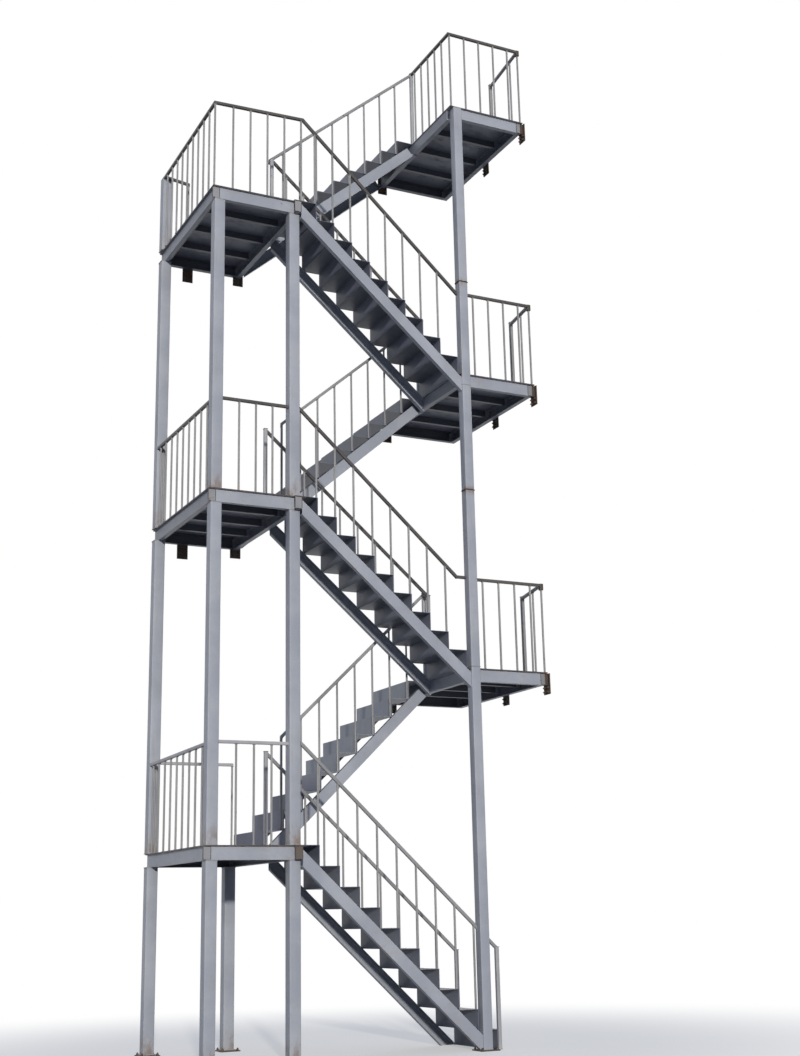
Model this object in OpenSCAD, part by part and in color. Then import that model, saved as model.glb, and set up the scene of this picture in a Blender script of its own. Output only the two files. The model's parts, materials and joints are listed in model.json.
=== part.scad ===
// Fire escape stair: three storeys of steel flights between two rows of landings.
// X runs from the left landings to the door landings, Y from the open front to the
// wall behind, Z up. The origin is at the foot of the front left post.

/* [Levels] */
// Top of the lowest left landing above the ground
level_a = 2110; // [1900:5:2300]
// Top of the first door landing
level_1 = 4045; // [3900:5:4200]
// Top of the middle left landing
level_b = 5825; // [5700:5:5950]
// Top of the second door landing
level_2 = 7545; // [7400:5:7700]
// Top of the highest left landing
level_c = 9360; // [9200:5:9500]
// Top of the third door landing
level_3 = 11070; // [10900:5:11200]

/* [Plan of the left landings] */
// Length of a left landing along the stair
landing_l = 1073; // [1000:1:1200]
// Depth of the landings from front to back
landing_d = 1973; // [1950:1:2100]
// Left face of the landing frame, counted from the front left post's centre
landing_x = -68; // [-100:1:-62]
// Front face of the landing frame, counted from the front left post's centre
landing_y = -60; // [-90:1:-55]
// Right beam of the landing frame, inside the deck's right edge
beam_inset = 45; // [40:1:60]

/* [Plan of the door landings] */
// Length of a door landing along the stair
door_l = 1009; // [900:1:1200]
// How far the door landings stand forward of the left landings
door_forward = 43; // [20:1:60]

/* [Flights] */
// Risers of the lowest flight
risers_ground = 10; // [9:1:12]
// Risers of each other flight
risers_upper = 9; // [8:1:10]
// Going of the front flights
going_front = 225; // [215:1:235]
// Going of the back flights
going_back = 223; // [215:1:230]
// Width of the front flights
front_w = 976; // [930:1:990]
// Width of the back flights
back_w = 979; // [930:1:1000]
// How far the front flights stand forward of the left landings
front_forward = 58; // [45:1:64]
// Top tread of a front flight beyond the landing's edge
top_tread_l = 141; // [120:1:200]
// First riser of a back flight, behind the landing's edge
first_riser_back = 61; // [55:1:90]
// First riser of a front flight, before the door landing's beam
first_riser_gap = 8; // [8:1:20]
// Thickness of the folded step plates
step_t = 5; // [4:0.5:8]

/* [Beams and stringers] */
// Height of the landing beams
beam_h = 134; // [120:1:160]
// Flange width of the landing beams
beam_w = 60; // [50:1:60]
// Web thickness of the landing beams
beam_web = 7; // [5:0.5:9]
// Flange thickness of the landing beams
beam_flange = 10; // [7:0.5:12]
// Height of the joists
joist_h = 80; // [70:1:100]
// Flange width of the joists
joist_w = 45; // [40:1:50]
// Wall thickness of the joists
joist_t = 6; // [5:0.5:8]
// Number of joists under a landing
joists = 3; // [2:1:4]
// Height of the stringers, square to their slope
stringer_h = 125; // [110:1:135]
// Flange width of the stringers
stringer_w = 58; // [50:1:60]
// Web thickness of the stringers
stringer_web = 6; // [5:0.5:9]
// Flange thickness of the stringers
stringer_flange = 9; // [6:0.5:11]
// Thickness of the cleats under the door landings
cleat_t = 10; // [8:1:14]
// Thickness of the closing plates on beam ends
end_plate_t = 8; // [6:1:10]
// Width of the closing plates at the left landings
end_plate_w = 84; // [60:1:90]

/* [Decks] */
// Thickness of the landing decks
deck_t = 12; // [6:1:14]
// How far a deck laps over its frame
deck_lip = 24; // [0:1:30]

/* [Posts] */
// Side of the square posts under the left landings
post_s = 124; // [100:1:124]
// Side of the square post at the door landings
door_post_s = 112; // [100:1:116]
// Wall thickness of the posts
post_wall = 5; // [4:0.5:8]
// Front right post's centre, inside the landing's right face
post_right_inset = 107; // [107:1:140]
// Back left post's centre, inside the landing's left face
post_back_inset = 20; // [10:1:80]
// Back posts' centre, inside the landing's back face
post_wall_inset = 81; // [75:1:120]
// Back right post's centre, inside the landing's right face
post_low_inset = 150; // [110:1:200]
// Door post's left face, beyond the door landing's beam
door_post_offset = 37; // [20:1:60]
// Door post's front face, forward of the door landing's beams
door_post_forward = 31; // [0:1:40]
// Side of the base plates
base_s = 220; // [200:1:260]
// Thickness of the base plates
base_t = 12; // [10:1:20]
// Spacing of the anchor holes in a base plate
base_hole_pitch = 170; // [150:1:190]
// Radius of the anchor holes
anchor_r = 9; // [7:0.5:11]

/* [Wall plates] */
// Width of the wall plates
wall_plate_w = 130; // [120:1:180]
// Height of the wall plates
wall_plate_h = 236; // [230:1:280]
// Height of the wall brackets under the left landings' back beams
bracket_h = 300; // [280:1:330]
// Centre of those brackets, from the landing's left face
bracket_x = 338; // [250:1:450]
// Thickness of the wall plates
wall_plate_t = 12; // [10:1:16]
// Distance from the door landing's beams to the wing wall
wing_gap = 47; // [20:1:60]
// Spacing of the wall plate's holes across
wall_hole_x = 80; // [70:1:90]
// Spacing of the wall plate's holes up
wall_hole_z = 50; // [40:1:60]
// Second fixing on the wing wall, from the landing's front
wing_fixing_y = 968; // [800:1:1400]

/* [Railings] */
// Side of the handrail and top rail tubes
rail_s = 34; // [28:1:40]
// Side of the balusters
baluster_s = 20; // [14:1:24]
// Side of the newels
newel_s = 40; // [34:1:44]
// Side of the thin newels at the feet of the back flights
newel_thin_s = 24; // [20:1:40]
// Baluster spacing along the lower left landings' fronts
baluster_pitch_low = 194; // [150:1:220]
// Baluster spacing along the other landings' fronts
baluster_pitch_x = 209; // [150:1:220]
// Baluster spacing along the landings' sides
baluster_pitch_y = 190; // [150:1:210]
// First front baluster of the lower left landings, from the frame's left face
first_baluster_low = 329; // [250:1:400]
// First bay of the highest left landing's front railing
first_bay_top = 220; // [180:1:240]
// Height of the front rail's centre above the two lower left landings
rail_h = 1036; // [980:1:1080]
// Height of the back rail's centre above the lowest left landing
rail_h_back = 1004; // [960:1:1060]
// Height of the left rails' centre above the lower left landings, at the front
side_rail_h = 1020; // [980:1:1080]
// Height of the left rails' centre above the left landings, at the back
side_rail_h_back = 970; // [940:1:1060]
// Left rails' back ends, beyond the frame's left face
side_rail_spread = 24; // [0:1:24]
// Drop of the short returns at the left rails' back ends
return_drop = 42; // [0:1:60]
// Height of the front rail's centre above the highest left landing, at its left end
rail_h_top_left = 1048; // [1000:1:1120]
// Height of the front rail's centre above the highest left landing, at its right end
rail_h_top = 1080; // [1000:5:1120]
// Height of the rail's centre above the door landings
door_rail_h = 1022; // [980:1:1100]
// Height of the links between the newels at the well
link_h = 994; // [960:1:1010]
// Drop of the wing wall's rails for each unit of their length
wing_rail_slope = 0.155; // [0:0.005:0.2]
// Height of the inner and the back flights' rails above the nosings
flight_rail_h = 820; // [780:5:860]
// Height of the ground flight's outer rail above the nosings
outer_rail_ground = 873; // [820:1:920]
// Height of the middle front flight's outer rail above its lowest nosings
outer_rail_middle_low = 787; // [760:1:840]
// Height of the middle front flight's outer rail above its highest nosings
outer_rail_middle_high = 859; // [820:1:900]
// Height of the upper front flight's outer rail above its lowest nosings
outer_rail_upper_low = 878; // [840:1:920]
// Outer rails, inside the flights' front edge
outer_rail_inset = 70; // [50:1:78]
// Inner rails, inside the flights' edge at the well
well_rail_inset = 20; // [20:1:40]
// Rails of the lower left landings, inside the frame's face
landing_rail_inset = 35; // [30:1:60]
// Left rail of the highest left landing, inside the deck's edge
top_rail_inset = 22; // [17:1:40]
// Rails of the door landings, inside the deck's edge
door_rail_inset = 32; // [20:1:45]
// Right rail of the door landings, inside the deck's edge
wing_rail_inset = 20; // [17:1:40]
// Length of the lower and the middle rail along the wing wall
wing_rail_l = 413; // [380:1:500]
// Length of the highest rail along the wing wall
wing_rail_top_l = 680; // [500:1:1200]
// Back rail of the lowest left landing, beyond its corner post
back_rail_l = 900; // [700:1:960]
// Returns of the left rails across the corner posts of the lower left landings
return_l = 70; // [50:1:200]
// Return of the highest landing's left rail
return_top_l = 312; // [200:1:600]
// Lower end of the ground flight's outer rail, before the first riser
ground_rail_lead = 79; // [60:1:120]
// Lower end of the other flights' inner rails, before the first riser
inner_rail_lead = 20; // [20:1:40]
// Level piece of the middle front flight's outer rail, past the first riser
outer_rail_level_l = 70; // [40:1:120]
// Upper newels of the front flights on the lower landings, inside the landing's edge
newel_inset = 108; // [80:1:140]
// Newels of the highest landing, inside the landing's edge
newel_inset_top = 40; // [30:1:60]
// Lower newels of the back flights, beyond the first riser
newel_back = 200; // [190:1:202]

/* [Hidden] */
// Gap between solids of one sub-part that are welded in the real stair
weld_gap = 0.3;
$fn = 48;
paint = [0.63, 0.65, 0.69];
worn_paint = [0.45, 0.47, 0.50];
dark_plate = [0.30, 0.32, 0.35];
rusty = [0.42, 0.33, 0.28];

// Faces of the left landings' frames
left_x0 = landing_x;
left_x1 = landing_x + landing_l;
left_beam_x1 = left_x1 - beam_inset;
left_y0 = landing_y;
back_y = landing_y + landing_d;
// Front and back flights
front_y = left_y0 - front_forward;
back_flight_y = back_y - back_w;
top_riser_front = left_x1 + top_tread_l;
low_riser_front = top_riser_front + (risers_upper - 1) * going_front;
low_riser_back = left_x1 - first_riser_back;
// Faces of the door landings' frames
door_x0 = low_riser_front + first_riser_gap;
door_x1 = door_x0 + door_l;
door_y0 = left_y0 - door_forward;
// Door landings' deck edges
door_deck_x0 = low_riser_front;
door_deck_x1 = door_x1 + deck_lip;
door_deck_y0 = door_y0 - deck_lip;
// Posts: centres in plan
post_front_right_xy = [left_x1 - post_right_inset, 0];
post_back_left_xy = [left_x0 + post_back_inset, back_y - post_wall_inset];
post_back_right_xy = [left_x1 - post_low_inset, back_y - post_wall_inset];
door_post_x0 = door_x0 + door_post_offset;
door_post_x1 = door_post_x0 + door_post_s;
door_post_y0 = door_y0 - door_post_forward;
door_post_y1 = door_post_y0 + door_post_s;
door_post_xy = [door_post_x0 + door_post_s / 2, door_post_y0 + door_post_s / 2];
// The back posts' base plates end at the wall
back_base_y = back_y - base_s / 2;
// Depth of a landing from its top to the underside of its beams
landing_depth = deck_t + beam_h;
// Space left round a post that passes a plate
post_clear = 2;

left_levels = [level_a, level_b, level_c];
door_levels = [level_1, level_2, level_3];
flight_levels = [0, level_a, level_1, level_b, level_2, level_c, level_3];

function flight_base(n) = flight_levels[n - 1];
function is_front(n) = n % 2 == 1;
function flight_risers(n) = n == 1 ? risers_ground : risers_upper;
function flight_rise(n) = (flight_levels[n] - flight_base(n)) / flight_risers(n);
function flight_going(n) = is_front(n) ? going_front : going_back;
function flight_slope(n) = flight_rise(n) / flight_going(n);
function flight_w(n) = is_front(n) ? front_w : back_w;
// X of the lowest riser's face
function first_riser(n) = is_front(n)
    ? top_riser_front + (flight_risers(n) - 1) * going_front
    : low_riser_back;
// Distance along a flight from its first riser to a place in X
function along(n, x) = is_front(n) ? first_riser(n) - x : x - first_riser(n);
// Height of the nosing line above the flight's base
function nosing(n, u) = flight_rise(n) + flight_slope(n) * u;
// Where the deck that a flight climbs to begins
function flight_end(n) = is_front(n) ? along(n, left_x1) : along(n, door_deck_x0);

// A hollow square bar standing on z0
module square_tube(side, wall, z0, z1) {
    translate([0, 0, z0])
        linear_extrude(z1 - z0)
            difference() {
                square(side, center = true);
                square(side - 2 * wall, center = true);
            }
}

// A channel from x0 to x1 with its web's outer face at y; side 1 turns the flanges to +Y
module beam_along_x(y, x0, x1, top, h, w, web, flange, side) {
    translate([x0, y, top - h])
        mirror([0, side > 0 ? 0 : 1, 0]) {
            cube([x1 - x0, web, h]);
            cube([x1 - x0, w, flange]);
            translate([0, 0, h - flange])
                cube([x1 - x0, w, flange]);
        }
}

// A channel from y0 to y1 with its web's outer face at x; side 1 turns the flanges to +X
module beam_along_y(x, y0, y1, top, h, w, web, flange, side) {
    translate([x, y0, top - h])
        mirror([side > 0 ? 0 : 1, 0, 0]) {
            cube([web, y1 - y0, h]);
            cube([w, y1 - y0, flange]);
            translate([0, 0, h - flange])
                cube([w, y1 - y0, flange]);
        }
}

module landing_beam_x(y, x0, x1, top, side) {
    beam_along_x(y, x0, x1, top, beam_h, beam_w, beam_web, beam_flange, side);
}

module landing_beam_y(x, y0, y1, top, side) {
    beam_along_y(x, y0, y1, top, beam_h, beam_w, beam_web, beam_flange, side);
}

// Plate that closes the front end of a beam that runs back to the wall
module beam_end_plate(x, y, w, top) {
    translate([x, y, top - beam_h])
        cube([w, end_plate_t, beam_h]);
}

// Joists between two side beams, evenly spaced from front to back
module joist_row(x0, x1, y0, y1, top) {
    pitch = (y1 - y0) / (joists + 1);
    for (i = [1 : joists])
        beam_along_x(y0 + i * pitch, x0, x1, top, joist_h, joist_w, joist_t, joist_t, 1);
}

// Frame of a left landing, whose deck is at the given level
module left_frame(level) {
    top = level - deck_t;
    inner_x0 = left_x0 + beam_web;
    inner_x1 = left_beam_x1 - beam_web;
    landing_beam_y(left_x0, left_y0, back_y, top, 1);
    landing_beam_y(left_beam_x1, front_y, back_y, top, -1);
    landing_beam_x(left_y0, inner_x0, inner_x1, top, 1);
    landing_beam_x(back_y, inner_x0, inner_x1, top, -1);
    joist_row(inner_x0, inner_x1, left_y0, back_y, top);
    beam_end_plate(left_x0 - deck_lip, left_y0, end_plate_w, top);
    beam_end_plate(left_beam_x1 - end_plate_w, front_y, end_plate_w, top);
}

// Frame of a door landing: it meets the door post and runs to both walls
module door_frame(level) {
    top = level - deck_t;
    landing_beam_y(door_x0, door_post_y1, back_y, top, 1);
    landing_beam_y(door_x1, door_y0, back_y, top, -1);
    landing_beam_x(door_y0, door_post_x1, door_x1 - beam_web, top, 1);
    landing_beam_x(back_y, door_x0 + beam_web, door_x1 - beam_web, top, -1);
    joist_row(door_x0 + beam_web, door_x1 - beam_web, left_y0, back_y, top);
    beam_end_plate(door_x1 - beam_w, door_y0, beam_w, top);
}

// Deck plate of a left landing, lapped over the frame at the front and left
module left_deck(level) {
    x0 = left_x0 - deck_lip;
    y0 = left_y0 - deck_lip;
    x_step = left_beam_x1 - end_plate_w;
    translate([0, 0, level - deck_t])
        linear_extrude(deck_t)
            polygon([[x0, y0], [x_step, y0], [x_step, front_y],
                [left_x1, front_y], [left_x1, back_y], [x0, back_y]]);
}

// Deck plate of a door landing; it is notched where the door post goes on up
module door_deck(level, notched) {
    translate([0, 0, level - deck_t])
        linear_extrude(deck_t)
            difference() {
                translate([door_deck_x0, door_deck_y0])
                    square([door_deck_x1 - door_deck_x0, back_y - door_deck_y0]);
                if (notched)
                    translate([door_post_x0 - post_clear, door_post_y0 - post_clear])
                        square(door_post_s + 2 * post_clear);
            }
}

// Puts a flight's own directions in place: up the flight, across it, and up
module place_flight(n) {
    if (is_front(n))
        translate([first_riser(n), front_y, flight_base(n)])
            mirror([1, 0, 0])
                children();
    else
        translate([first_riser(n), back_flight_y, flight_base(n)])
            children();
}

// One folded plate: a riser and the tread above it
module step(n, k) {
    rise = flight_rise(n);
    u0 = (k - 1) * flight_going(n);
    u1 = k < flight_risers(n) ? k * flight_going(n) : flight_end(n);
    foot = k > 1 ? step_t : is_front(n) && n > 1 ? deck_t : 0;
    translate([u0, 0, (k - 1) * rise - foot])
        cube([step_t, flight_w(n), rise + foot]);
    translate([u0, 0, k * rise - step_t])
        cube([u1 - u0 - weld_gap, flight_w(n), step_t]);
}

// The room the door post takes out of the lowest tread
module door_post_room(h) {
    translate([door_post_x0 - post_clear, door_post_y0 - post_clear, 0])
        cube([door_post_s + 2 * post_clear, door_post_s + 2 * post_clear, h]);
}

module flight_steps(n) {
    for (k = [1 : flight_risers(n)])
        difference() {
            place_flight(n)
                step(n, k);
            if (n == 1)
                door_post_room(level_a);
        }
}

// A sloping channel under the riser feet, from u0 to u1 and no lower than foot; the
// end at u1 is upright, or square to the slope with its lower corner at u1; below the
// first riser it is cut back under the deck that the flight starts from
module stringer(n, u0, u1, square_end, foot = 0) {
    slope = atan(flight_slope(n));
    long = (u1 + stringer_h) / cos(slope);
    reach = square_end
        ? (u1 - step_t - stringer_h * sin(slope)) / cos(slope)
        : long;
    difference() {
        intersection() {
            translate([step_t, 0, -step_t])
                rotate([0, -slope, 0])
                    translate([0, 0, -stringer_h])
                        stringer_bar(-long / 3, reach);
            translate([u0, -1, foot - flight_base(n)])
                cube([u1 - u0, stringer_w + 2, level_3]);
        }
        if (u0 < 0)
            translate([-stringer_h, -2, -deck_t])
                cube([stringer_h, stringer_w + 4, stringer_h]);
    }
}

module stringer_bar(x0, x1) {
    translate([x0, 0, 0]) {
        cube([x1 - x0, stringer_web, stringer_h]);
        cube([x1 - x0, stringer_w, stringer_flange]);
        translate([0, 0, stringer_h - stringer_flange])
            cube([x1 - x0, stringer_w, stringer_flange]);
    }
}

// Seat under the door landing's beam for the end of a back flight's stringer
module stringer_cleat(n) {
    u = along(n, door_x0);
    z = flight_levels[n] - flight_base(n) - landing_depth;
    translate([u - beam_w, 0, z - cleat_t])
        cube([2 * beam_w, stringer_w, cleat_t]);
}

// Filler under the deck between the left landing's beam and a back flight's stringer
module stringer_filler(n) {
    translate([along(n, left_beam_x1), 0, -deck_t - joist_h])
        cube([beam_inset, stringer_w, joist_h]);
}

// The two stringers of a flight; the second is turned over to face the first
module flight_stringers(n) {
    u1 = is_front(n) ? along(n, left_beam_x1) : along(n, door_x0);
    outer_u0 = is_front(n) ? along(n, door_post_x0) : along(n, left_x1);
    inner_u0 = n == 1 ? 0 : is_front(n) ? along(n, door_x0) : outer_u0;
    place_flight(n) {
        stringer(n, outer_u0, u1, !is_front(n), n == 1 ? base_t : 0);
        translate([0, flight_w(n), 0])
            mirror([0, 1, 0])
                stringer(n, inner_u0, u1, !is_front(n));
        if (!is_front(n))
            for (v = [0, flight_w(n) - stringer_w])
                translate([0, v, 0]) {
                    stringer_cleat(n);
                    stringer_filler(n);
                }
    }
}

// Height of a flight's rail above its base: it runs straight between its two ends
function rail_z(n, u, u0, h0, u1, h1) =
    nosing(n, u) + h0 + (h1 - h0) * (u - u0) / (u1 - u0);

// A sloping square bar across the plane v, upright cut at both ends
module sloping_bar(v, u0, z0, u1, z1) {
    tall = rail_s / cos(atan((z1 - z0) / (u1 - u0)));
    translate([0, v + rail_s / 2, 0])
        rotate([90, 0, 0])
            linear_extrude(rail_s)
                polygon([[u0, z0 - tall / 2], [u1, z1 - tall / 2],
                    [u1, z1 + tall / 2], [u0, z0 + tall / 2]]);
}

// An upright bar of a flight's railing
module upright(u, v, side, z0, z1) {
    translate([u - side / 2, v - side / 2, z0])
        cube([side, side, z1 - z0]);
}

// A flight's railing: its rail, with a baluster at the back of each tread
module flight_railing(n, v, u0, h0, u1, h1) {
    sloping_bar(v, u0, rail_z(n, u0, u0, h0, u1, h1), u1, rail_z(n, u1, u0, h0, u1, h1));
    for (k = [1 : flight_risers(n) - 1]) {
        u = k * flight_going(n) - baluster_s / 2 - weld_gap;
        if (u > u0 + newel_s && u < u1 - newel_s)
            upright(u, v, baluster_s, k * flight_rise(n),
                rail_z(n, u, u0, h0, u1, h1));
    }
}

// Newel at the end u of a flight's railing, down to the height foot
module flight_newel(n, u, v, foot, h) {
    upright(u, v, newel_s, foot, nosing(n, u) + h + rail_s / 2);
}

// Newel on the landing that a flight climbs to
module upper_newel(n, u, v, h) {
    flight_newel(n, u, v, flight_levels[n] - flight_base(n), h);
}

outer_v = outer_rail_inset;
inner_v = front_w - well_rail_inset;
well_v = well_rail_inset;
post_right_face = post_front_right_xy[0] + post_s / 2;
flight_rail_y = front_y + outer_rail_inset;
// Front face of the back left corner posts, and the left rails' end there
corner_face_y = post_back_left_xy[1] - post_s / 2;
side_end_x = left_x0 - side_rail_spread;

module ground_flight_railings() {
    u0 = -ground_rail_lead;
    u1 = along(1, left_x1 - newel_inset);
    place_flight(1) {
        flight_railing(1, outer_v, u0, outer_rail_ground,
            along(1, post_right_face), outer_rail_ground);
        flight_newel(1, u0 + newel_s / 2, outer_v, 0, outer_rail_ground);
        flight_railing(1, inner_v, -2 * newel_s, flight_rail_h, u1, flight_rail_h);
        flight_newel(1, -newel_s, inner_v, 0, flight_rail_h);
        upper_newel(1, u1 - newel_s / 2, inner_v, flight_rail_h);
    }
}

module middle_flight_railings() {
    u0 = outer_rail_level_l;
    u_post = along(3, door_post_x0);
    z0 = nosing(3, u0) + outer_rail_middle_low;
    place_flight(3) {
        flight_railing(3, outer_v, u0, outer_rail_middle_low,
            along(3, post_right_face), outer_rail_middle_high);
        sloping_bar(outer_v, u_post, z0, u0, z0);
        front_inner_railing(3, newel_inset);
    }
}

module upper_flight_railings() {
    u0 = along(5, door_post_x0);
    u1 = along(5, left_x1);
    z1 = level_c + rail_h_top - level_2;
    place_flight(5) {
        flight_railing(5, outer_v, u0, outer_rail_upper_low, u1, z1 - nosing(5, u1));
        front_inner_railing(5, newel_inset_top);
    }
}

// Inner railing of a front flight that starts on a door landing
module front_inner_railing(n, inset) {
    u0 = -inner_rail_lead - newel_s / 2;
    u1 = along(n, left_x1 - inset) + newel_s / 2;
    flight_railing(n, inner_v, u0, flight_rail_h, u1, flight_rail_h);
    flight_newel(n, u0 + newel_s / 2, inner_v, 0, flight_rail_h);
    upper_newel(n, u1 - newel_s / 2, inner_v, flight_rail_h);
}

// Railing of a back flight, at the well only; its foot is a thin newel or hangs on a link
module back_railing(n, foot_u, on_link) {
    u0 = foot_u - newel_thin_s / 2;
    u1 = along(n, door_deck_x0 + inner_rail_lead) + newel_s / 2;
    place_flight(n) {
        flight_railing(n, well_v, u0, flight_rail_h, u1, flight_rail_h);
        if (!on_link)
            upright(foot_u, well_v, newel_thin_s, flight_rise(n),
                nosing(n, foot_u) + flight_rail_h);
        upper_newel(n, u1 - newel_s / 2, well_v, flight_rail_h);
    }
}

// A level railing along X with balusters from the first place on, at a spacing
module railing_along_x(y, x0, x1, level, h, first, pitch) {
    translate([x0, y - rail_s / 2, level + h - rail_s / 2])
        cube([x1 - x0, rail_s, rail_s]);
    for (x = [first : pitch : x1 - baluster_s / 2])
        if (x >= x0 + baluster_s / 2)
            level_baluster(x, y, level, h);
}

// A square bar that leans in plan and in height, cut off square to Y at both ends
module leaning_bar(x0, y0, z0, x1, y1, z1) {
    run = norm([x1 - x0, y1 - y0]);
    spare = 2 * rail_s;
    intersection() {
        translate([x0, y0, z0])
            rotate([0, 0, atan2(y1 - y0, x1 - x0)])
                rotate([0, -atan((z1 - z0) / run), 0])
                    translate([-rail_s, -rail_s / 2, -rail_s / 2])
                        cube([norm([run, z1 - z0]) + spare, rail_s, rail_s]);
        translate([min(x0, x1) - spare, y0, min(z0, z1) - spare])
            cube([abs(x1 - x0) + 2 * spare, y1 - y0, abs(z1 - z0) + 2 * spare]);
    }
}

// A railing along Y whose rail leans from one end to the other, above a deck, with
// balusters from the first place on
module railing_along_y(level, x0, y0, h0, x1, y1, h1, first, pitch) {
    leaning_bar(x0, y0, level + h0, x1, y1, level + h1);
    for (y = [first : pitch : y1 - baluster_s / 2]) {
        t = (y - y0) / (y1 - y0);
        level_baluster(x0 + t * (x1 - x0), y, level, h0 + t * (h1 - h0));
    }
}

module level_baluster(x, y, level, h) {
    translate([x - baluster_s / 2, y - baluster_s / 2, level])
        cube([baluster_s, baluster_s, h]);
}

// Front and left railings between the posts of a lower left landing
module lower_landing_railings(level) {
    x = left_x0 + landing_rail_inset;
    y = left_y0 + landing_rail_inset;
    railing_along_x(y, post_s / 2, post_front_right_xy[0] - post_s / 2, level, rail_h,
        left_x0 + first_baluster_low, baluster_pitch_low);
    side_railing(level, x, post_s / 2, side_rail_h, y + baluster_pitch_y);
    side_return(level, return_l);
}

// Left railing of a left landing, back to the corner post, where it has spread outward
module side_railing(level, x, y0, h, first) {
    railing_along_y(level, x, y0, h, side_end_x, corner_face_y, side_rail_h_back,
        first, baluster_pitch_y);
}

// Short return of a left rail across the corner post's face, with an upright at its end
module side_return(level, length) {
    y = corner_face_y - rail_s / 2;
    x0 = side_end_x + rail_s / 2 + weld_gap + 1;
    x1 = side_end_x + length;
    z0 = level + side_rail_h_back;
    sloping_bar(y, x0, z0, x1, z0 - return_drop);
    level_baluster(x1 - baluster_s / 2 - weld_gap, y, level, side_rail_h_back - return_drop);
}

// Back railing of the lowest left landing, from the corner post along the wall
module back_landing_railing(level) {
    x0 = post_back_left_xy[0] + post_s / 2;
    x1 = x0 + back_rail_l;
    railing_along_x(back_y - landing_rail_inset, x0, x1, level, rail_h_back,
        x1 - baluster_s / 2 - weld_gap, back_rail_l);
}

module top_landing_railings() {
    x = left_x0 - deck_lip + top_rail_inset;
    y = flight_rail_y;
    x1 = left_x1 - weld_gap;
    rise = (rail_h_top - rail_h_top_left) / (x1 - x);
    sloping_bar(y, x - rail_s / 2, level_c + rail_h_top_left, x1, level_c + rail_h_top);
    level_baluster(x, y, level_c, rail_h_top_left);
    for (d = [first_bay_top : baluster_pitch_x : x1 - x - baluster_s / 2])
        level_baluster(x + d, y, level_c, rail_h_top_left + rise * d);
    side_railing(level_c, x, y + rail_s / 2 + weld_gap, rail_h_top_left,
        y + baluster_pitch_y);
    side_return(level_c, return_top_l);
    newel_link(left_x1 - newel_inset_top, level_c, rail_s);
}

// Level bar at the well from a front flight's newel to what stands at the back flight
module newel_link(x, level, far_s) {
    y0 = front_y + inner_v + newel_s / 2;
    y1 = back_flight_y + well_v - far_s / 2;
    translate([x - rail_s / 2, y0, level + link_h - rail_s / 2])
        cube([rail_s, y1 - y0, rail_s]);
}

// Front railing of a door landing and its return along the wing wall
module door_railings(level, x0, wing_l) {
    x1 = door_deck_x1 - wing_rail_inset;
    y = door_deck_y0 + door_rail_inset;
    first = door_deck_x0 + door_rail_inset;
    railing_along_x(y, x0, x1 + rail_s / 2, level, door_rail_h, first, baluster_pitch_x);
    level_baluster(x1, y, level, door_rail_h);
    end_h = door_rail_h - wing_l * wing_rail_slope;
    railing_along_y(level, x1, y + rail_s / 2 + weld_gap, door_rail_h, x1, y + wing_l,
        end_h, y + baluster_pitch_y, wing_l);
    translate([x1 - newel_s / 2, y + wing_l + weld_gap, level])
        cube([newel_s, newel_s, end_h + rail_s / 2]);
}

// Left railing of the highest door landing, back to the newel of the top flight
module door_left_railing(level) {
    x = door_deck_x0 + inner_rail_lead;
    y = door_deck_y0 + door_rail_inset;
    railing_along_y(level, x, y + rail_s / 2 + weld_gap, door_rail_h,
        x, back_flight_y + well_v - newel_s / 2, door_rail_h,
        y + baluster_pitch_y, baluster_pitch_y);
}

// A base plate with four anchor holes round a post's centre
module base_plate(xy) {
    p = base_hole_pitch / 2;
    translate([xy[0], xy[1], 0])
        difference() {
            translate([-base_s / 2, -base_s / 2, 0])
                cube([base_s, base_s, base_t]);
            for (x = [-p, p], y = [-p, p])
                translate([x, y, -1])
                    cylinder(h = base_t + 2, r = anchor_r);
        }
}

// A plate bolted to a wall, below and behind a beam's end; it lies in the plane of
// X and Z, with the beam's centre at x = 0 and the beam's top at z = 0
module wall_plate(h) {
    low = -h + (h - beam_h - wall_hole_z) / 2;
    difference() {
        translate([-wall_plate_w / 2, 0, -h])
            cube([wall_plate_w, wall_plate_t, h]);
        for (x = [-wall_hole_x / 2, wall_hole_x / 2], z = [low, low + wall_hole_z])
            translate([x, -1, z])
                rotate([-90, 0, 0])
                    cylinder(h = wall_plate_t + 2, r = anchor_r);
    }
}

// Wall plate on the wall behind, at the end of a beam that runs back
module back_wall_plate(x, level, h) {
    translate([x, back_y, level - deck_t])
        wall_plate(h);
}

// Wall plate on the wing wall, with the stub of beam that reaches it
module wing_wall_plate(y, level) {
    stub = wing_gap - wall_plate_t;
    translate([door_x1, y, level - deck_t]) {
        translate([0, -beam_w / 2, -beam_h])
            cube([stub, beam_w, beam_h]);
        translate([stub, 0, 0])
            rotate([0, 0, -90])
                wall_plate(wall_plate_h);
    }
}

module base_plates() {
    color(rusty) {
        base_plate([0, 0]);
        base_plate(post_front_right_xy);
        base_plate([post_back_left_xy[0], back_base_y]);
        base_plate([post_back_right_xy[0], back_base_y]);
        base_plate(door_post_xy);
    }
}

// A post in lengths: each stands on one landing and ends under the next
module left_post(xy, tops) {
    for (i = [0 : len(tops) - 1])
        translate([xy[0], xy[1], 0])
            square_tube(post_s, post_wall, i == 0 ? base_t : tops[i - 1],
                tops[i] - landing_depth);
}

module post_front_left() {
    color(paint)
        left_post([0, 0], left_levels);
}

module post_front_right() {
    color(paint)
        left_post(post_front_right_xy, left_levels);
}

module post_back_left() {
    corner_top = level_c + side_rail_h_back + rail_s / 2;
    color(paint) {
        left_post(post_back_left_xy, left_levels);
        translate([post_back_left_xy[0], post_back_left_xy[1], 0])
            square_tube(post_s, post_wall, level_c, corner_top);
    }
}

module post_back_right() {
    color(paint)
        left_post(post_back_right_xy, [level_a]);
}

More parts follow.
